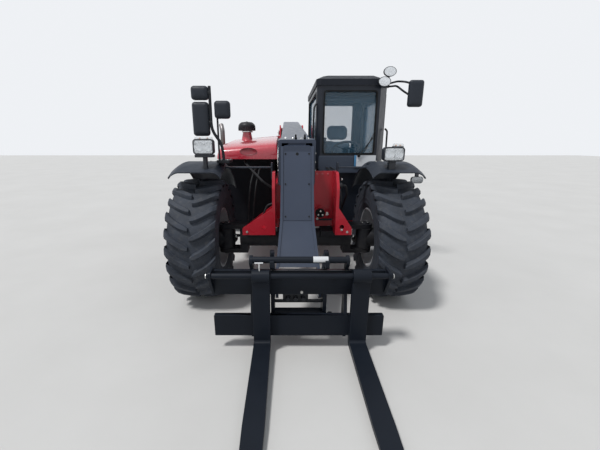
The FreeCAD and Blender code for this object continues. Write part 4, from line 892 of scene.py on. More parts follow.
def mirror_head(bm, glass_bm, rect, y):
    """Mirror housing with a domed back and its glass."""
    pillow(bm, "y", rect, 0.030, ((y + 0.020, 0.005), (y + 0.021, 0.002), (y + 0.018, 0.0),
            (y - 0.004, 0.0), (y - 0.016, 0.005), (y - 0.026, 0.016), (y - 0.031, 0.032),
            (y - 0.032, 0.050)))
    pillow(glass_bm, "y", rect, 0.030, ((y + 0.0195, 0.006), (y + 0.0215, 0.007)))


def mirrors():
    """Right mirrors on their curved poles and the left mirror on the cab's arms."""
    bm, glass_bm, arms = bmesh.new(), bmesh.new(), bmesh.new()
    y = MIRROR_Y
    for rect in RIGHT_MIRRORS:
        mirror_head(bm, glass_bm, rect, y)
    mirror_head(bm, glass_bm, LEFT_MIRROR, LEFT_MIRROR_Y)
    made = piece("mirror_heads", bm, "chassis", "mirror_black", smooth=40)
    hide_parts("mirrors")
    piece("mirror_glass", glass_bm, "chassis", "mirror_black", MIRROR)
    tube(arms, ((-0.700, y, 1.425), (-0.700, y, 1.50), (-0.715, y, 1.60), (-0.800, y, 1.72),
            (-0.800, y, 2.105)), 0.014, 16)
    tube(arms, ((-0.740, y, 1.44), (-0.740, y, 1.83)), 0.009, 12)
    slab(arms, (-0.760, y - 0.04, 1.416), (-0.640, 0.02, 1.445), 0.004)
    for z in (1.78, 2.04):
        slab(arms, (-0.825, y - 0.014, z), (-0.790, y + 0.014, z + 0.022), 0.004)
        disc(arms, (-0.800, y - 0.014, z + 0.011), (0, -1, 0), 0.008, 0.010)
    tube(arms, ((1.164, 0.928, 2.310), (1.200, 0.720, 2.300), (1.270, 0.660, 2.285), (1.340, 0.640, 2.262)),
            0.011, 14)
    tube(arms, ((1.164, 0.928, 2.276), (1.195, 0.720, 2.252), (1.250, 0.665, 2.190), (1.340, 0.640, 2.130)),
            0.011, 14)
    slab(arms, (1.152, 0.905, 2.262), (1.168, 0.950, 2.328), 0.003)
    piece("mirror_arms", arms, "chassis", "mirror_black", CASTING)
    feet = [(x, yy, 1.445) for x in (-0.745, -0.655) for yy in (y - 0.025, 0.005)]
    bolts("mirror_bolts", "chassis", "mirror_black", 0.010, (0, 0, 1), feet)


def reflector_pair(chrome, bulbs, rect, face):
    """Two reflector bowls with bulbs on a bright plate."""
    x0, x1, z0, z1 = rect
    pillow(chrome, "y", rect, 0.020, ((face, 0.015), (face - 0.001, 0.015)))
    width = x1 - x0
    radius = min(0.042, (z1 - z0) / 2 - 0.014)
    for share in (0.28, 0.72):
        place = Vector((x0 + width * share, face - 0.001, (z0 + z1) / 2))
        lathe(chrome, ((0.001, 0.008), (0.003, radius * 0.55), (0.010, radius * 0.85), (0.018, radius),
                (0.019, radius - 0.002), (0.012, radius * 0.80)), place, (0, -1, 0), 32)
        lathe(bulbs, ((0, 0.007), (0.010, 0.008), (0.015, 0.005), (0.017, 0.0)), place, (0, -1, 0), 16)


def headlamps():
    """Headlamps on the front mudguards: housings, reflectors, bulbs and fluted lenses."""
    body, chrome, bulbs, lenses = bmesh.new(), bmesh.new(), bmesh.new(), bmesh.new()
    for rect in HEADLAMPS:
        pillow(body, "y", rect, 0.030, ((-0.306, 0.013), (-0.329, 0.011), (-0.333, 0.007), (-0.331, 0.002),
                (-0.322, 0.0), (-0.255, 0.003), (-0.232, 0.012), (-0.216, 0.035)))
        reflector_pair(chrome, bulbs, rect, -0.307)
        pillow(lenses, "y", rect, 0.026, ((-0.324, 0.012), (-0.3305, 0.013), (-0.334, 0.022),
                (-0.336, 0.045)))
    lip = AXLE_HEIGHT + GUARD_RADIUS - 0.075
    slab(body, (-0.862, -0.300, lip), (-0.830, -0.240, 1.505), 0.004)
    slab(body, (0.850, -0.300, lip), (0.910, -0.240, 1.445), 0.004)
    slab(body, (0.880, -0.300, 1.566), (0.970, -0.240, 1.576), 0.003)
    slab(body, (-0.930, -0.325, 1.476), (-0.762, -0.232, 1.502), 0.006)
    made = piece("headlamp_housings", body, "chassis", "lamp_black", smooth=40)
    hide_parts("headlamps")
    piece("headlamp_reflectors", chrome, "chassis", "lamp_black", CHROME)
    piece("headlamp_bulbs", bulbs, "chassis", "lamp_black", LAMP_LENS)
    pillow(lenses, "z", (0.882, 0.968, -0.308, -0.242), 0.015,
            ((1.574, 0.0), (1.592, 0.001), (1.600, 0.008)))
    pillow(lenses, "z", (-0.925, -0.770, -0.322, -0.236), 0.015,
            ((1.638, 0.0), (1.650, 0.001), (1.657, 0.008)))
    piece("headlamp_lenses", lenses, "chassis", "lamp_black", LAMP_LENS)
    amber = bmesh.new()
    for x, z in ((0.905, 1.576), (0.945, 1.576), (-0.885, 1.640), (-0.815, 1.640)):
        lathe(amber, ((0, 0.009), (0.008, 0.009), (0.012, 0.005), (0.013, 0)), (x, -0.275, z), (0, 0, 1),
                14)
    piece("indicator_bulbs", amber, "chassis", "lamp_black", AMBER_LENS)


def work_lamps():
    """Oval work lamps on the roof's corner and the small position lamp under the left mudguard's edge."""
    body, chrome, lenses = bmesh.new(), bmesh.new(), bmesh.new()
    # x and z of the middle
    for centre in ((CAB_OUTER - 0.054, 2.392), (CAB_OUTER - 0.108, 2.286)):
        oval(body, centre, 0.074, 0.054, ((0.668, 0.86), (0.653, 0.90), (0.650, 0.96), (0.655, 1.0),
                (0.676, 0.98), (0.692, 0.86), (0.702, 0.62), (0.706, 0.30)))
        oval(chrome, centre, 0.074, 0.054, ((0.654, 0.88), (0.660, 0.80), (0.674, 0.50), (0.678, 0.12)))
        oval(lenses, centre, 0.074, 0.054, ((0.656, 0.90), (0.649, 0.90), (0.645, 0.60), (0.643, 0.25)))
    # the bracket's three flats, by their distance in from the cab's outer side and their top
    for far, near, top in ((0.070, 0.038, 2.40), (0.124, 0.092, 2.300), (0.114, 0.038, 2.300)):
        slab(body, (CAB_OUTER - far, 0.706, 2.272), (CAB_OUTER - near, 0.728, top), 0.003)
    made = piece("work_lamp_housings", body, "chassis", "lamp_black", smooth=40)
    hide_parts("work_lamps")
    piece("work_lamp_reflectors", chrome, "chassis", "lamp_black", CHROME)
    piece("work_lamp_lenses", lenses, "chassis", "lamp_black", LAMP_LENS)
    marker, glow = bmesh.new(), bmesh.new()
    pillow(marker, "y", (1.045, 1.155, 1.245, 1.307), 0.026,
            ((-0.352, 0.0), (-0.346, 0.0), (-0.322, 0.004), (-0.314, 0.016)))
    slab(marker, (1.085, -0.345, 1.300), (1.115, -0.318, 1.345), 0.003)
    piece("position_lamp", marker, "chassis", "lamp_black", smooth=40)
    pillow(glow, "y", (1.049, 1.151, 1.249, 1.303), 0.022, ((-0.352, 0.0), (-0.362, 0.003),
            (-0.368, 0.014)))
    piece("position_lens", glow, "chassis", "lamp_black", LAMP_LENS)


def tail_lamps():
    """Rear lamp clusters with red, amber and clear lenses in black frames."""
    body, red, amber, clear = [bmesh.new() for _ in range(4)]
    for side in (1, -1):
        pillow(body, "y", (side * 0.640, side * 0.860, 1.120, 1.215), 0.012,
                ((3.640, 0.002), (3.644, 0.0), (3.694, 0.0), (3.697, 0.004), (3.692, 0.008)))
        # share of the width from the middle of the machine, and the lens
        for near, far, target in ((0.04, 0.30, clear), (0.32, 0.66, red), (0.68, 0.96, amber)):
            a, b = side * (0.640 + 0.220 * near), side * (0.640 + 0.220 * far)
            pillow(target, "y", (a, b, 1.129, 1.206), 0.006, ((3.692, 0.0), (3.6985, 0.0), (3.701, 0.004)))
    made = piece("tail_housings", body, "chassis", "lamp_red", MATERIALS["lamp_black"])
    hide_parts("tail_lamps")
    piece("tail_lenses_red", red, "chassis", "lamp_red")
    piece("tail_lenses_amber", amber, "chassis", "lamp_red", AMBER_LENS)
    piece("tail_lenses_clear", clear, "chassis", "lamp_red", LAMP_LENS)


# Cab

def window_seals():
    """Rubber seals round the windows of the cab and its door."""
    shell, door = bmesh.new(), bmesh.new()
    # normal, rectangle, corner radius and the places of the seal's two faces along the normal
    for plane, rect, radius, low, high in (("y", (CAB_INNER + 0.085, CAB_OUTER - 0.160, 1.475, 2.200), 0.03,
            0.736, 0.746), ("y", (CAB_INNER + 0.070, CAB_OUTER - 0.140, 1.500, 2.200), 0.03, 2.194, 2.204),
            ("x", (0.850, 2.090, 1.430, 2.200), 0.03, 0.266, 0.276),
            ("x", (1.990, 2.105, 1.500, 2.200), 0.02, 1.134, 1.144)):
        pillow(shell, plane, rect, radius, ((low, -0.010), (low, 0.010), (high, 0.010), (high, -0.010)),
                "loop")
    for rect, radius in (((0.970, 1.860, 1.330, 2.140), 0.04), ((0.980, 1.630, 0.760, 1.240), 0.06)):
        pillow(door, "x", rect, radius, ((1.138, -0.012), (1.138, 0.010), (1.1445, 0.008),
                (1.1445, -0.010)), "loop")
    piece("window_seals", shell, "chassis", "cab_black", SEAL)
    piece("door_seals", door, "cab_door", "cab_black", SEAL)


def cab_outside():
    """Wiper, grab rails, door handle and creases, front panel, sun visor and the plate's frame."""
    bm = bmesh.new()
    disc(bm, WIPER_PIVOT, (0, -1, 0), 0.018, 0.028)
    tube(bm, ((0.80, 0.716, 1.452), (0.87, 0.708, 1.55), (0.955, 0.706, 1.665)), 0.0065, 10)
    tube(bm, ((0.865, 0.722, 1.500), (0.915, 0.724, 1.600), (0.985, 0.722, 1.760)), 0.0045, 8)
    slab(bm, (0.945, 0.702, 1.655), (0.962, 0.726, 1.672), 0.003)
    piece("wiper", bm, "chassis", "cab_black", SEAL)
    bm = bmesh.new()
    tube(bm, ((0.262, 0.775, 1.48), (0.238, 0.760, 1.50), (0.232, 0.757, 1.75), (0.238, 0.757, 2.02),
            (0.262, 0.775, 2.06)), 0.011, 14)
    tube(bm, ((1.146, 0.885, 1.05), (1.172, 0.870, 1.07), (1.172, 0.862, 1.40), (1.172, 0.870, 1.75),
            (1.146, 0.885, 1.78)), 0.011, 14)
    tube(bm, ((1.143, 1.975, 0.95), (1.168, 1.985, 0.97), (1.168, 1.985, 1.35), (1.143, 1.975, 1.37)),
            0.011, 14)
    piece("grab_rails", bm, "chassis", "cab_black", SATIN_BLACK)
    bm = bmesh.new()
    slab(bm, (CAB_OUTER, 0.985, 1.262), (CAB_OUTER + 0.010, 1.115, 1.308), 0.004)
    slab(bm, (CAB_OUTER + 0.018, 1.000, 1.270), (CAB_OUTER + 0.032, 1.100, 1.300), 0.006)
    disc(bm, (CAB_OUTER + 0.010, 1.012, 1.285), (1, 0, 0), 0.011, 0.012)
    piece("door_handle", bm, "cab_door", "cab_black", SATIN_BLACK)
    bm = bmesh.new()
    for y0, y1, z in ((0.94, 1.88, 2.175), (0.94, 1.88, 0.680), (0.94, 1.88, 1.285)):
        slab(bm, (CAB_OUTER - 0.001, y0, z - 0.003), (CAB_OUTER + 0.003, y1, z + 0.003), 0.001)
    piece("door_creases", bm, "cab_door", "cab_black")
    bm = bmesh.new()
    pillow(bm, "y", (CAB_INNER + 0.035, CAB_OUTER - 0.110, 1.240, 1.452), 0.020,
            ((0.741, 0.0), (0.7388, 0.0), (0.7370, 0.004), (0.7366, 0.012)))
    piece("cab_front_panel", bm, "chassis", "cab_black", CAB_PANEL, smooth=40)
    bm = bmesh.new()
    slab(bm, (CAB_INNER + 0.080, 0.835, 2.085), (CAB_OUTER - 0.150, 0.842, 2.240), 0.002)
    for index in range(4):
        z = 2.080 + 0.034 * index
        slab(bm, (CAB_INNER + 0.080, 0.820, z), (CAB_OUTER - 0.150, 0.836, z + 0.007), 0.002)
    piece("sun_visor", bm, "chassis", "cab_black", SEAL)
    bm = bmesh.new()
    pillow(bm, "y", PLATE, 0.010, ((0.7395, 0.0), (0.7300, 0.0), (0.7300, 0.004),
            (0.7320, 0.005)), "open")
    piece("plate_frame", bm, "chassis", "plate_white", SEAL)
    bm = bmesh.new()
    slab(bm, (0.747, 0.7312, 1.301), (0.774, 0.7325, 1.459), 0.0005)
    piece("plate_strip", bm, "chassis", "plate_white", PLATE_BLUE)
    bolts("plate_screws", "chassis", "plate_white", 0.006, (0, -1, 0),
            [(x, 0.7318, 1.38) for x in (0.800, 0.998)])


def cab_inside():
    """Steering wheel, dash screen, levers, armrest, pedals, inside mirror, roof lining and floor mat."""
    bm = bmesh.new()
    grip = 0.015
    rows = [(grip * math.sin(math.pi * k / 6), 0.175 + grip * math.cos(math.pi * k / 6)) for k in range(12)]
    lathe(bm, rows, (0, 0, 0), (0, 0, 1), 56, closed=True)
    disc(bm, (0, 0, -0.030), (0, 0, 1), 0.040, 0.042, 28, 0.3)
    for turn in (90, 210, 330):
        spin = Matrix.Rotation(math.radians(turn), 3, "Z")
        block(bm, spin @ Vector((0.100, 0, -0.004)), (0.070, 0.013, 0.004), 0.003, 2, spin)
    ball(bm, (0.150, 0.080, 0.040), 0.021)
    lathe(bm, ((0, 0.006), (0.040, 0.006)), (0.150, 0.080, 0), (0, 0, 1), 10)
    column = Vector((0, math.sin(COLUMN_LEAN), math.cos(COLUMN_LEAN)))
    place = Vector((CAB_MIDDLE, 0.985, 1.290)) + column * 0.280
    turn = Matrix.Translation(place) @ Matrix.Rotation(-COLUMN_LEAN, 4, "X")
    bmesh.ops.transform(bm, matrix=turn, verts=bm.verts)
    made = piece("steering_rim", bm, "chassis", "console_plastic", smooth=40)
    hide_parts("steering_wheel")
    bm = bmesh.new()
    lean = Matrix.Rotation(math.radians(-28), 3, "X")
    slab(bm, (CAB_MIDDLE - 0.13, 0.915, 1.375), (CAB_MIDDLE + 0.13, 0.985, 1.465), 0.014, 3, lean)
    for side in (1, -1):
        tube(bm, ((CAB_MIDDLE + side * 0.04, 1.045, 1.40), (CAB_MIDDLE + side * 0.13, 1.055, 1.42),
                (CAB_MIDDLE + side * 0.185, 1.060, 1.425)), 0.006, 10)
        ball(bm, (CAB_MIDDLE + side * 0.188, 1.060, 1.425), 0.011)
    slab(bm, (CAB_INNER + 0.050, 1.345, 1.236), (CAB_INNER + 0.180, 1.790, 1.262), 0.010, 3)
    for y in (1.44, 1.50):
        tube(bm, ((CAB_INNER + 0.125, y, 1.250), (CAB_INNER + 0.125, y, 1.320)), 0.005, 10)
        ball(bm, (CAB_INNER + 0.125, y, 1.328), 0.012)
    lathe(bm, ((0, 0.032), (0.015, 0.026), (0.030, 0.021), (0.045, 0.013), (0.05, 0)), (*LEVER, 1.258),
            (0, 0, 1), 20)
    lathe(bm, ((0, 0), (0, 0.011), (0.050, 0.016), (0.085, 0.020), (0.105, 0.016), (0.112, 0)),
            (*LEVER, 1.300), (0.05, -0.12, 1), 20)
    for x in (CAB_MIDDLE - 0.08, CAB_MIDDLE + 0.09):
        slab(bm, (x - 0.035, 1.035, 0.700), (x + 0.035, 1.048, 0.800), 0.005, 2,
                Matrix.Rotation(0.5, 3, "X"))
        tube(bm, ((x, 1.044, 0.735), (x, 1.000, 0.680), (x, 0.985, 0.650)), 0.007, 8)
    piece("cab_controls", bm, "chassis", "console_plastic", smooth=40)
    bm = bmesh.new()
    slab(bm, (CAB_MIDDLE - 0.105, 0.945, 1.395), (CAB_MIDDLE + 0.105, 0.952, 1.445), 0.003, 2, lean)
    bmesh.ops.translate(bm, vec=(0, 0.033, 0.012), verts=bm.verts)
    piece("dash_screen", bm, "chassis", "console_plastic", SCREEN)
    bm = bmesh.new()
    oval(bm, (0.825, 1.965), 0.042, 0.078, ((0.968, 0.94), (0.964, 1.0), (0.950, 0.98), (0.942, 0.80),
            (0.938, 0.45)))
    tube(bm, ((0.825, 0.952, 2.035), (0.83, 0.930, 2.13), (0.84, 0.925, 2.262)), 0.006, 10)
    piece("inside_mirror", bm, "chassis", "console_plastic", SATIN_BLACK)
    bm = bmesh.new()
    pillow(bm, "z", (CAB_INNER + 0.06, CAB_OUTER - 0.10, 1.68, 2.13), 0.05,
            ((2.258, 0.0), (2.230, 0.010), (2.222, 0.030)))
    for x in (0.45, 0.95):
        disc(bm, (x, 1.90, 2.224), (0, 0, -1), 0.035, 0.012, 24, 0.3)
    piece("roof_lining", bm, "chassis", "roof_grey", LINER)
    bm = bmesh.new()
    slab(bm, (CAB_INNER + 0.05, 0.90, 0.644), (CAB_OUTER - 0.05, 1.94, 0.650), 0.002)
    for index in range(18):
        y = 1.12 + 0.045 * index
        slab(bm, (CAB_INNER + 0.07, y, 0.650), (CAB_OUTER - 0.08, y + 0.018, 0.653), 0.001)
    piece("floor_mat", bm, "chassis", "console_plastic", SEAL)


def cloth_pillow(name, bm, slot_name, cap):
    """Cushion: its solid is remeshed, swollen by cloth pressure up to a cap, and refined once."""
    made = piece(name, bm, "chassis", slot_name, smooth=None)
    scene = bpy.context.scene
    remesh = made.modifiers.new("remesh", "REMESH")
    remesh.mode = "VOXEL"
    remesh.voxel_size = VOXEL
    graph = bpy.context.evaluated_depsgraph_get()
    even = bpy.data.meshes.new_from_object(made.evaluated_get(graph))
    made.modifiers.clear()
    made.data = even
    rest = np.empty(len(even.vertices) * 3)
    even.vertices.foreach_get("co", rest)
    rest = rest.reshape(-1, 3)
    cloth = made.modifiers.new("cloth", "CLOTH")
    cloth.settings.use_pressure = True
    cloth.settings.uniform_pressure_force = CLOTH_PRESSURE
    cloth.settings.effector_weights.gravity = 0
    for step in range(1, CLOTH_STEPS + 1):
        scene.frame_set(step)
    graph = bpy.context.evaluated_depsgraph_get()
    swollen = bpy.data.meshes.new_from_object(made.evaluated_get(graph))
    place = np.empty(len(swollen.vertices) * 3)
    swollen.vertices.foreach_get("co", place)
    move = place.reshape(-1, 3) - rest
    length = np.linalg.norm(move, axis=1, keepdims=True)
    move *= np.minimum(1.0, cap / np.maximum(length, 1e-9))
    made.modifiers.clear()
    even.vertices.foreach_set("co", (rest + move).ravel())
    even.update()
    scene.frame_set(1)
    refine = made.modifiers.new("refine", "SUBSURF")
    refine.levels = refine.render_levels = 1
    for polygon in even.polygons:
        polygon.use_smooth = True
    return made


def channels(made, axis, places, depth, width, normal):
    """Sewn channels pressed into a cushion across an axis at places, along a normal."""
    mesh = made.data
    shift = OFFSET[axis]
    for vert in mesh.vertices:
        press = sum(math.exp(-((vert.co[axis] - shift - place) / width) ** 2) for place in places)
        if vert.normal.dot(Vector(normal)) > 0.3:
            vert.co -= Vector(normal) * depth * press
    mesh.update()


def seat():
    """Seat cushions with piped edges on a suspension base with a ribbed boot."""
    x = CAB_MIDDLE
    bm = bmesh.new()
    pillow(bm, "z", (x - 0.222, x + 0.222, 1.300, 1.745), 0.06,
            ((0.978, 0.02), (0.990, 0.004), (1.010, 0.0), (1.050, 0.0), (1.066, 0.012), (1.070, 0.035)))
    cushion = cloth_pillow("seat_cushion", bm, "seat_fabric", 0.014)
    channels(cushion, 1, (1.42, 1.53, 1.64), 0.006, 0.006, (0, 0, 1))
    bm = bmesh.new()
    pillow(bm, "y", (x - 0.212, x + 0.212, 0.0, 0.575), 0.07,
            ((-0.048, 0.030), (-0.044, 0.010), (-0.020, 0.0), (0.015, 0.0), (0.036, 0.012), (0.042, 0.035)))
    turn = Matrix.Translation(BACK_FOOT) @ Matrix.Rotation(-BACK_LEAN, 4, "X")
    bmesh.ops.transform(bm, matrix=turn, verts=bm.verts)
    rest = cloth_pillow("seat_back", bm, "seat_fabric", 0.014)
    channels(rest, 2, (1.20, 1.31, 1.42, 1.53), 0.006, 0.006, (0, -1, 0))
    bm = bmesh.new()
    pillow(bm, "y", (x - 0.165, x + 0.165, 0.585, 0.820), 0.085,
            ((-0.036, 0.030), (-0.032, 0.010), (-0.015, 0.0), (0.010, 0.0), (0.028, 0.012), (0.032, 0.035)))
    bmesh.ops.transform(bm, matrix=turn, verts=bm.verts)
    cloth_pillow("head_rest", bm, "seat_fabric", 0.012)
    bm = bmesh.new()
    slab(bm, (x - 0.20, 1.385, 0.945), (x + 0.20, 1.745, 0.972), 0.008, 3)
    slab(bm, (x - 0.17, 1.400, 0.645), (x + 0.17, 1.720, 0.690), 0.006)
    boot = [(0.690 + 0.255 * index / 16, 0.012 + 0.010 * (index % 2)) for index in range(17)]
    pillow(bm, "z", (x - 0.17, x + 0.17, 1.400, 1.720), 0.05, boot)
    slab(bm, (x - 0.030, 1.740, 0.985), (x + 0.030, 1.800, 1.120), 0.008)
    made = piece("seat_base", bm, "chassis", "seat_fabric", SATIN_BLACK, smooth=35)
    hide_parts("seat")


# Frame, panel and steps

def chassis_details():
    """Bolts and ports of the front frame, hydraulic lines, boom pivot caps and grips on the step."""
    places = [(0.215 + 0.055 * k, -0.012, 1.300) for k in range(3)]
    bolts("panel_bolts", "chassis", "frame_red", 0.012, (0, -1, 0), places, MATERIALS["hood_red"])
    feet = [(0.450, -0.250, 0.775), (0.505, -0.250, 0.752), (-0.485, -0.250, 0.752)]
    bolts("foot_bolts", "chassis", "frame_red", 0.016, (0, -1, 0), feet)
    bm = bmesh.new()
    ports = [(PORTS[0] + dx, PORTS[1] + dz) for dx, dz in around(3, 0.026, math.radians(90))]
    disc(bm, (PORTS[0], -0.045, PORTS[1]), (0, -1, 0), 0.050, 0.016, 32, 0.2)
    for x, z in ports:
        disc(bm, (x, -0.061, z), (0, -1, 0), 0.014, 0.020, 20, 0.15)
    piece("port_block", bm, "chassis", "frame_red", SEAL)
    bm = bmesh.new()
    for x, z in ports:
        lathe(bm, ((0, 0), (0, 0.009), (0.008, 0.009), (0.010, 0.006), (0.018, 0.006), (0.020, 0)),
                (x, -0.081, z), (0, -1, 0), 16)
    disc(bm, (0.330, -0.012, 0.885), (0, -1, 0), 0.020, 0.022, 24, 0.2)
    hex_bolt(bm, (0.225, -0.045, 0.838), (0, -1, 0), 0.018)
    hex_bolt(bm, (0.430, -0.225, 1.268), (1, 0, 0), 0.016)
    piece("port_fittings", bm, "chassis", "frame_red", ZINC)
    bm = bmesh.new()
    disc(bm, (0.414, -0.200, 1.205), (1, 0, 0), 0.028, 0.030, 24, 0.2)
    tube(bm, ((0.440, -0.200, 1.205), (0.480, -0.200, 1.205), (0.500, -0.180, 1.12), (0.500, -0.02, 1.00),
            (0.470, 0.04, 0.85), (0.460, 0.03, 0.70)), 0.010, 12)
    tube(bm, ((-0.614, 0.830, 1.400), (-0.600, 0.560, 1.395), (-0.470, 0.300, 1.300),
            (-0.330, 0.060, 1.200), (-0.236, 0.030, 1.150)), 0.012, 12)
    tube(bm, ((-0.234, -0.150, 1.02), (-0.290, -0.150, 1.00), (-0.330, -0.160, 0.90),
            (-0.420, -0.100, 0.80), (-0.520, -0.060, 0.755)), 0.010, 12)
    for side in (1, -1):
        # distance from the machine's middle, y and z
        for run in (((0.455, 0.90, 1.31), (0.455, 0.34, 1.31), (0.485, 0.22, 1.20), (0.505, 0.12, 1.00),
                (0.515, 0.12, 0.80), (0.505, 0.05, 0.700)), ((0.405, 0.90, 1.31), (0.405, 0.36, 1.31),
                (0.435, 0.26, 1.15), (0.455, 0.18, 0.95), (0.465, 0.14, 0.78), (0.465, 0.06, 0.690))):
            tube(bm, [(side * x, y, z) for x, y, z in run], 0.009, 10)
    piece("hydraulic_lines", bm, "chassis", "axle_black", RUBBER_BLACK)
    bm = bmesh.new()
    for side in (1, -1):
        lathe(bm, ((0, 0), (0, 0.058), (0.008, 0.058), (0.012, 0.052), (0.014, 0)),
                (side * 0.236, BOOM_PIVOT.y, BOOM_PIVOT.z), (side, 0, 0), 32)
        hex_bolt(bm, (side * 0.250, BOOM_PIVOT.y, BOOM_PIVOT.z), (side, 0, 0), 0.016)
    piece("pivot_caps", bm, "outer_boom", "boom_grey", ZINC)
    bm = bmesh.new()
    for z in (0.363, 0.495):
        for index in range(13):
            y = 1.125 + 0.042 * index
            slab(bm, (CAB_OUTER - 0.170, y, z), (CAB_OUTER - 0.020, y + 0.010, z + 0.006), 0.001)
    piece("step_grips", bm, "chassis", "tank_black", ZINC)


def tank_details():
    """Straps and ribbed filler cap of the hydraulic tank."""
    bm = bmesh.new()
    for y in (2.48, 3.02):
        slab(bm, (0.2195, y, 1.428), (0.7035, y + 0.035, 1.4305), 0.001)
        slab(bm, (0.7005, y, 1.43), (0.7045, y + 0.035, 1.600), 0.001)
    piece("tank_straps", bm, "chassis", "tank_black", ZINC)
    bm = bmesh.new()
    lathe(bm, ((0, 0), (0, 0.052), (0.024, 0.054), (0.032, 0.048), (0.034, 0)), (*TANK_CAP, 1.668),
            (0, 0, 1), 32)
    for index in range(12):
        turn = Matrix.Rotation(math.pi * 2 * index / 12, 3, "Z")
        centre = Vector((*TANK_CAP, 1.682)) + turn @ Vector((0.054, 0, 0))
        block(bm, centre, (0.004, 0.005, 0.009), 0.001, 1, turn)
    piece("tank_cap", bm, "chassis", "tank_black", SEAL)


# Boom, head and attachment

def boom_details():
    """Collar bolts and fittings, cover and plugs of the head and a dark disc painted as the shade of a hole in it,
    side pipes with clamps and tilt pin caps.
    """
    front = BOOM_LENGTH - 0.06
    bm = bmesh.new()
    lean = Matrix.Rotation(BOOM_SLOPE, 3, "X")
    for x in (-0.105, -0.04, 0.04, 0.105):
        hex_bolt(bm, on_boom(x, front, 0.210), lean @ Vector((0, 0, 1)), 0.015)
    for side in (1, -1):
        for above in (-0.08, 0.0, 0.08):
            hex_bolt(bm, on_boom(side * 0.170, front, above), (side, 0, 0), 0.013)
    piece("collar_bolts", bm, "outer_boom", "boom_grey", ZINC)
    bm = bmesh.new()
    for x in (-0.012, 0.070):
        lathe(bm, ((0, 0.012), (0.02, 0.012), (0.024, 0.008), (0.045, 0.008), (0.050, 0)),
                on_boom(x, front + 0.035, 0.205), lean @ Vector((0, 0, 1)), 14)
    piece("collar_fittings", bm, "outer_boom", "boom_grey", SEAL)
    bm = bmesh.new()
    # z, front y and half width of the cover over the head's face
    rows = ((0.935, -0.5155, 0.129), (1.250, -0.4320, 0.1245), (1.545, -0.3575, 0.1245))
    rings = []
    for z, y, half in rows:
        rings.append([(-half, y - 0.004, z), (half, y - 0.004, z), (half, y + 0.003, z),
                (-half, y + 0.003, z)])
    stack(bm, rings)
    slab(bm, (-0.1245, -0.362, 1.538), (0.1245, -0.348, 1.556), 0.004)
    made = piece("head_cover", bm, "inner_boom", "boom_grey")
    soften(made, 0.0015)
    bm = bmesh.new()
    # Near-black disc in the middle of the head's face: painted shade of a hole; the six small discs are plugs
    disc(bm, (0.0, -0.3690, 1.508), (0, -1, 0.22), 0.014, 0.0022, 24)
    for x in (-0.105, 0.105):
        for z in (0.97, 1.25, 1.51):
            share = (z - 0.935) / 0.61
            disc(bm, (x, -0.5195 + 0.158 * share, z), (0, -1, 0.22), 0.007, 0.006, 12)
    piece("head_plugs_and_hole_shade", bm, "inner_boom", "boom_grey", SEAL)
    bm = bmesh.new()
    for above in (0.06, 0.09):
        run = [on_boom(-0.130, 0.40, above)]
        run += [on_boom(-0.158, along, above) for along in (0.47, 1.6, 2.6, 3.262)]
        tube(bm, run, 0.008, 10, 3)
    piece("boom_pipes", bm, "outer_boom", "boom_grey", SATIN_BLACK)
    bm = bmesh.new()
    for along in (0.75, 1.45, 2.15, 2.85):
        block(bm, on_boom(-0.161, along, 0.075), (0.011, 0.020, 0.030), 0.003, 2, lean)
    piece("pipe_clamps", bm, "outer_boom", "boom_grey", SEAL)
    bm = bmesh.new()
    for side in (1, -1):
        disc(bm, leaned(side * 0.245, TILT_PIN.y, TILT_PIN.z), (side, 0, 0), 0.042, 0.008, 28)
        hex_bolt(bm, leaned(side * 0.253, TILT_PIN.y, TILT_PIN.z), (side, 0, 0), 0.016)
    piece("tilt_pin_caps", bm, "attachment", "attachment_black", ZINC)


def attachment_details():
    """Shaft ends, bar bolt, fork lock pin, blank label, worn edge and coupling block."""
    bm = bmesh.new()
    for side in (1, -1):
        disc(bm, leaned(side * 0.686, -1.085, 0.665), (side, 0, 0), 0.020, 0.006, 28, 0.25)
    hex_bolt(bm, leaned(0.021, -1.022, 0.497), (0, -1, 0), 0.015)
    disc(bm, leaned(0.372, -1.030, 0.742), (0, -1, 0), 0.014, 0.004)
    for side in (1, -1):
        disc(bm, leaned(side * 0.285, -0.948, 0.225), (side, 0, 0), 0.017, 0.004)
    piece("bright_pins", bm, "attachment", "attachment_black", ZINC)
    bm = bmesh.new()
    lathe(bm, ((0, 0), (0, 0.008), (0.070, 0.008), (0.072, 0)), leaned(-0.294, -1.098, 0.712),
            (0, -0.15, 1), 16)
    lathe(bm, ((0, 0), (0, 0.006), (0.062, 0.006), (0.064, 0)), leaned(-0.326, -1.109, 0.778), (1, 0, 0),
            14)
    piece("fork_lock_pin", bm, "attachment", "attachment_black", CHROME)
    bm = bmesh.new()
    rings = []
    turns = [math.radians(-20 + 140 * index / 12) for index in range(13)]
    arc = [(0.0258, turn) for turn in turns] + [(0.0252, turn) for turn in turns[::-1]]
    for x in (0.101, 0.213):
        rings.append([leaned(x, -1.030 - r * math.cos(t), 0.770 + r * math.sin(t)) for r, t in arc])
    stack(bm, rings)
    piece("blank_label", bm, "attachment", "attachment_black", LABEL_WHITE)
    bm = bmesh.new()
    slab(bm, leaned(-0.215, -1.0225, 0.6785), leaned(0.385, -0.9925, 0.6815), 0.001)
    piece("worn_edge", bm, "attachment", "attachment_black", DARK_STEEL)
    bm = bmesh.new()
    slab(bm, (-0.125, -0.985, 0.395), (0.075, -0.935, 0.455), 0.008)
    for x in (-0.085, -0.025, 0.035):
        lathe(bm, ((0, 0), (0, 0.017), (0.020, 0.019), (0.032, 0.015), (0.040, 0.015), (0.042, 0)),
                (x, -0.985, 0.428), (0, -1, 0), 20)
    slab(bm, leaned(-0.212, -0.962, 0.372), leaned(0.212, -0.946, 0.396), 0.003)
    piece("coupling_block", bm, "attachment", "attachment_black", SATIN_BLACK)


# Wheels' fittings, axles and the rear

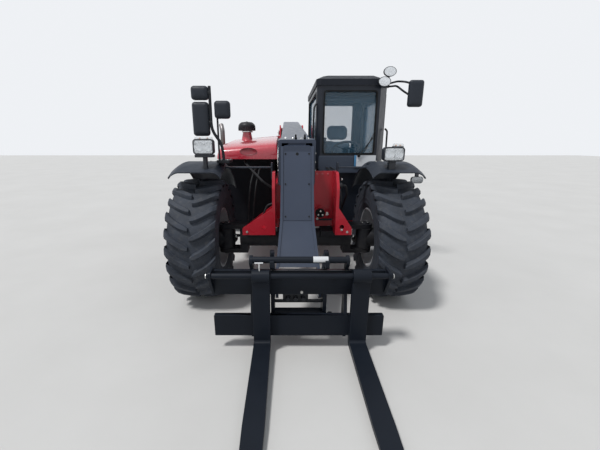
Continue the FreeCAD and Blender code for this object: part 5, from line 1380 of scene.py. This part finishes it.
def rim_mesh():
    """Rim with rounded flanges and a dished disc."""
    bm = bmesh.new()
    lathe(bm, ((-0.1973, 0.300), (-0.1973, 0.318), (-0.1945, 0.3235), (-0.190, 0.3235), (-0.1883, 0.318),
            (-0.1883, 0.3052), (-0.150, 0.3045), (-0.120, 0.288), (0.120, 0.288), (0.150, 0.3045),
            (0.1883, 0.3052), (0.1883, 0.318), (0.190, 0.3235), (0.1945, 0.3235), (0.1973, 0.318),
            (0.1973, 0.300), (0.150, 0.293), (0.120, 0.278), (0.098, 0.276), (0.082, 0.262), (0.062, 0.243),
            (0.058, 0.236), (0.058, 0.165), (0.044, 0.165), (0.044, 0.240), (0.052, 0.252), (0.076, 0.274),
            (-0.120, 0.278), (-0.150, 0.293)), (0, 0, 0), (1, 0, 0), 72, closed=True)
    for y, z in around(8, 0.2225, math.pi / 8):
        disc(bm, (0.0575, y, z), (1, 0, 0), 0.008, 0.003, 12)
    return template("rim_template", bm)


def hub_mesh():
    """Planetary hub with its stepped cover."""
    bm = bmesh.new()
    lathe(bm, ((-0.018, 0.070), (-0.018, 0.140), (0.030, 0.160), (0.044, 0.172), (0.060, 0.172),
            (0.066, 0.166), (0.138, 0.160), (0.146, 0.152), (0.150, 0.132), (0.160, 0.128), (0.165, 0.118),
            (0.165, 0.050), (0.160, 0.046), (0.160, 0.0), (-0.018, 0.0)), (0, 0, 0), (1, 0, 0), 60)
    for index in range(12):
        spin = Matrix.Rotation(2 * math.pi * index / 12, 3, "X")
        block(bm, spin @ Vector((0.102, 0, 0.163)), (0.034, 0.006, 0.006), 0.002, 1, spin)
    hex_bolt(bm, (0.160, 0, 0), (1, 0, 0), 0.020)
    return template("hub_template", bm)


def axle_details():
    """King pin caps and differential covers with bolts, glands of the steering rods and their boots."""
    bm, caps = bmesh.new(), bmesh.new()
    for axle_y, arm in ((0.0, 1), (WHEELBASE, -1)):
        for side in (1, -1):
            x = side * KINGPIN_X
            for up in (1, -1):
                z = AXLE_HEIGHT + up * 0.154
                disc(caps, (x, axle_y, z), (0, 0, up), 0.052, 0.012, 32, 0.2)
                for dx, dy in around(4, 0.040, math.radians(45)):
                    hex_bolt(bm, (x + dx, axle_y + dy, z + up * 0.012), (0, 0, up), 0.009)
        for dy, dz in around(12, 0.150):
            hex_bolt(bm, (-0.096, axle_y + dy, AXLE_HEIGHT + dz), (-1, 0, 0), 0.010)
        for side in (1, -1):
            gland = (side * 0.300, axle_y + arm * ROD_REACH, AXLE_HEIGHT - 0.051)
            lathe(caps, ((0, 0.020), (0, 0.034), (0.020, 0.032), (0.024, 0.020)), gland, (side, 0, 0), 28,
                    closed=True)
    piece("kingpin_caps", caps, "chassis", "axle_black")
    piece("axle_bolts", bm, "chassis", "axle_black", ZINC)
    for name, axle_y, arm in (("front", 0.0, 1), ("rear", WHEELBASE, -1)):
        boots = bmesh.new()
        for side in (1, -1):
            foot = (side * (KINGPIN_X - 0.045), axle_y + arm * ROD_REACH, AXLE_HEIGHT - 0.0745)
            lathe(boots, ((0, 0.017), (0, 0.026), (0.004, 0.029), (0.008, 0.024), (0.011, 0.028),
                    (0.0112, 0.017)), foot, (0, 0, 1), 24, closed=True)
        piece("ball_boots_" + name, boots, "steering_rod_" + name, "rod_steel", SEAL)


def rear_details():
    """Counterweight's lifting eyes, rear plates and bolts, reflectors, couplings and the hood's grille."""
    bm = bmesh.new()
    for side in (1, -1):
        tube(bm, ((side * 0.26, 3.50, 1.115), (side * 0.26, 3.50, 1.165), (side * 0.30, 3.50, 1.185),
                (side * 0.34, 3.50, 1.165), (side * 0.34, 3.50, 1.115)), 0.010, 12)
    slab(bm, (-0.560, 3.741, 0.760), (0.560, 3.747, 1.000), 0.003)
    slab(bm, (-0.540, 3.745, 0.780), (0.540, 3.7475, 0.980), 0.002)
    piece("weight_details", bm, "chassis", "weight_black")
    bm = bmesh.new()
    for side in (1, -1):
        pillow(bm, "y", (side * 0.80 - 0.045, side * 0.80 + 0.045, 0.80, 0.89), 0.012,
                ((3.700, 0.0), (3.712, 0.0), (3.716, 0.006)))
    piece("rear_reflectors", bm, "chassis", "lamp_red")
    bolts("weight_bolts", "chassis", "weight_black", 0.022, (0, 1, 0),
            [(x, 3.747, z) for x in (-0.50, 0.50) for z in (0.80, 0.96)], SEAL)
    bm = bmesh.new()
    for x in (-0.165, -0.105, 0.105, 0.165):
        lathe(bm, ((0, 0), (0, 0.020), (0.030, 0.020), (0.034, 0.016), (0.060, 0.016), (0.064, 0.012),
                (0.070, 0)), (x, 3.405, 1.168), (0, 1, 0), 20)
    piece("rear_couplings", bm, "chassis", "weight_black", ZINC)
    bm = bmesh.new()
    for index in range(6):
        z = 1.460 + index * 0.036
        tilt = Matrix.Rotation(math.radians(-35), 3, "X")
        slab(bm, (-0.815, 3.030, z - 0.006), (-0.345, 3.033, z + 0.022), 0, 1, tilt)
    piece("hood_grille", bm, "hood", "hood_red", SEAL)


# Camera, light and floor

def camera():
    """Camera at the photograph's place and angle."""
    data = bpy.data.cameras.new("camera")
    data.sensor_width = SENSOR
    data.lens = FOCAL_PIXELS / PICTURE_WIDTH * SENSOR
    data.shift_x = (PICTURE_WIDTH / 2 - CENTRE_PIXEL) / PICTURE_WIDTH
    made = bpy.data.objects.new("camera", data)
    made.location = CAMERA_PLACE + OFFSET
    made.rotation_euler = (math.radians(90 - CAMERA_DOWN), 0, 0)
    bpy.context.scene.collection.objects.link(made)
    bpy.context.scene.camera = made


def lights():
    """Soft key light from above, ahead and the machine's right, and an even sky."""
    data = bpy.data.lights.new("key", "SUN")
    data.energy = 2.3
    data.angle = math.radians(9)
    made = bpy.data.objects.new("key", data)
    made.rotation_euler = Vector((0.42, 0.34, -1.0)).to_track_quat("-Z", "Y").to_euler()
    bpy.context.scene.collection.objects.link(made)
    world = bpy.data.worlds.new("sky")
    bpy.context.scene.world = world
    world.use_nodes = True
    world.node_tree.nodes.clear()
    path = add_node(world, "ShaderNodeLightPath")
    shown = add_node(world, "ShaderNodeBackground", {"Color": (0.86, 0.88, 0.91, 1)})
    lit = add_node(world, "ShaderNodeBackground", {"Color": (0.88, 0.93, 1.0, 1), "Strength": 0.55})
    seen = add_node(world, "ShaderNodeMath", operation="MAXIMUM")
    both = add_node(world, "ShaderNodeMath", operation="MAXIMUM")
    blend = add_node(world, "ShaderNodeMixShader")
    out = add_node(world, "ShaderNodeOutputWorld")
    for source, target in ((path.outputs["Is Camera Ray"], seen.inputs[0]),
            (path.outputs["Is Glossy Ray"], seen.inputs[1]), (seen.outputs[0], both.inputs[0]),
            (path.outputs["Is Transmission Ray"], both.inputs[1]), (both.outputs[0], blend.inputs[0]),
            (lit.outputs[0], blend.inputs[1]), (shown.outputs[0], blend.inputs[2]),
            (blend.outputs[0], out.inputs["Surface"])):
        link(world, source, target)


def floor():
    """Plain pale floor."""
    bm = bmesh.new()
    bmesh.ops.create_grid(bm, x_segments=1, y_segments=1, size=40)
    mesh = bpy.data.meshes.new("floor")
    bm.to_mesh(mesh)
    bm.free()
    material, shader = new_material("floor", {"Roughness": 0.85})
    stone = drift(material, 0.8, 6.0, (0.56, 0.55, 0.53), (0.60, 0.59, 0.57))
    link(material, stone, shader.inputs["Base Color"])
    mesh.materials.append(material)
    made = bpy.data.objects.new("floor", mesh)
    bpy.context.scene.collection.objects.link(made)


def dress_frame():
    """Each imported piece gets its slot's material; sheet and plate pieces get softened edges."""
    for entry in frame["record"]["subparts"]:
        mesh = frame["nodes"][entry["node"]].data
        mesh.materials.clear()
        mesh.materials.append(MATERIALS[entry["material_slot"]])
    widths = {"carriage": 0.002, "forks": 0.003, "quick_coupler": 0.002, "chassis_frame": 0.002,
            "front_panel": 0.002, "outer_boom": 0.002, "inner_boom": 0.002, "hood": 0.004,
            "hood_front": 0.004, "cab_shell": 0.004, "cab_door": 0.003, "cab_roof": 0.006,
            "counterweight": 0.006, "hydraulic_tank": 0.008, "engine_cover": 0.003, "cab_step": 0.002,
            "dash_console": 0.006, "tow_hitch": 0.002, "front_axle": 0.003, "rear_axle": 0.003,
            "lift_barrel": 0.001, "engine_block": 0.004, "number_plate": 0.0008}
    group = smooth_group()
    for entry in frame["record"]["subparts"]:
        name = entry["node"]
        width = 0.002 if name.startswith("knuckle") else widths.get(name, 0)
        soften_cad(name, width, group)


bpy.context.scene.view_settings.view_transform = "Standard"
camera()
lights()
floor()
dress_frame()
wheels()
precleaner()
exhaust_stack()
hood_details()
mudguards()
mirrors()
headlamps()
work_lamps()
tail_lamps()
window_seals()
cab_outside()
cab_inside()
seat()
chassis_details()
tank_details()
boom_details()
attachment_details()
axle_details()
rear_details()
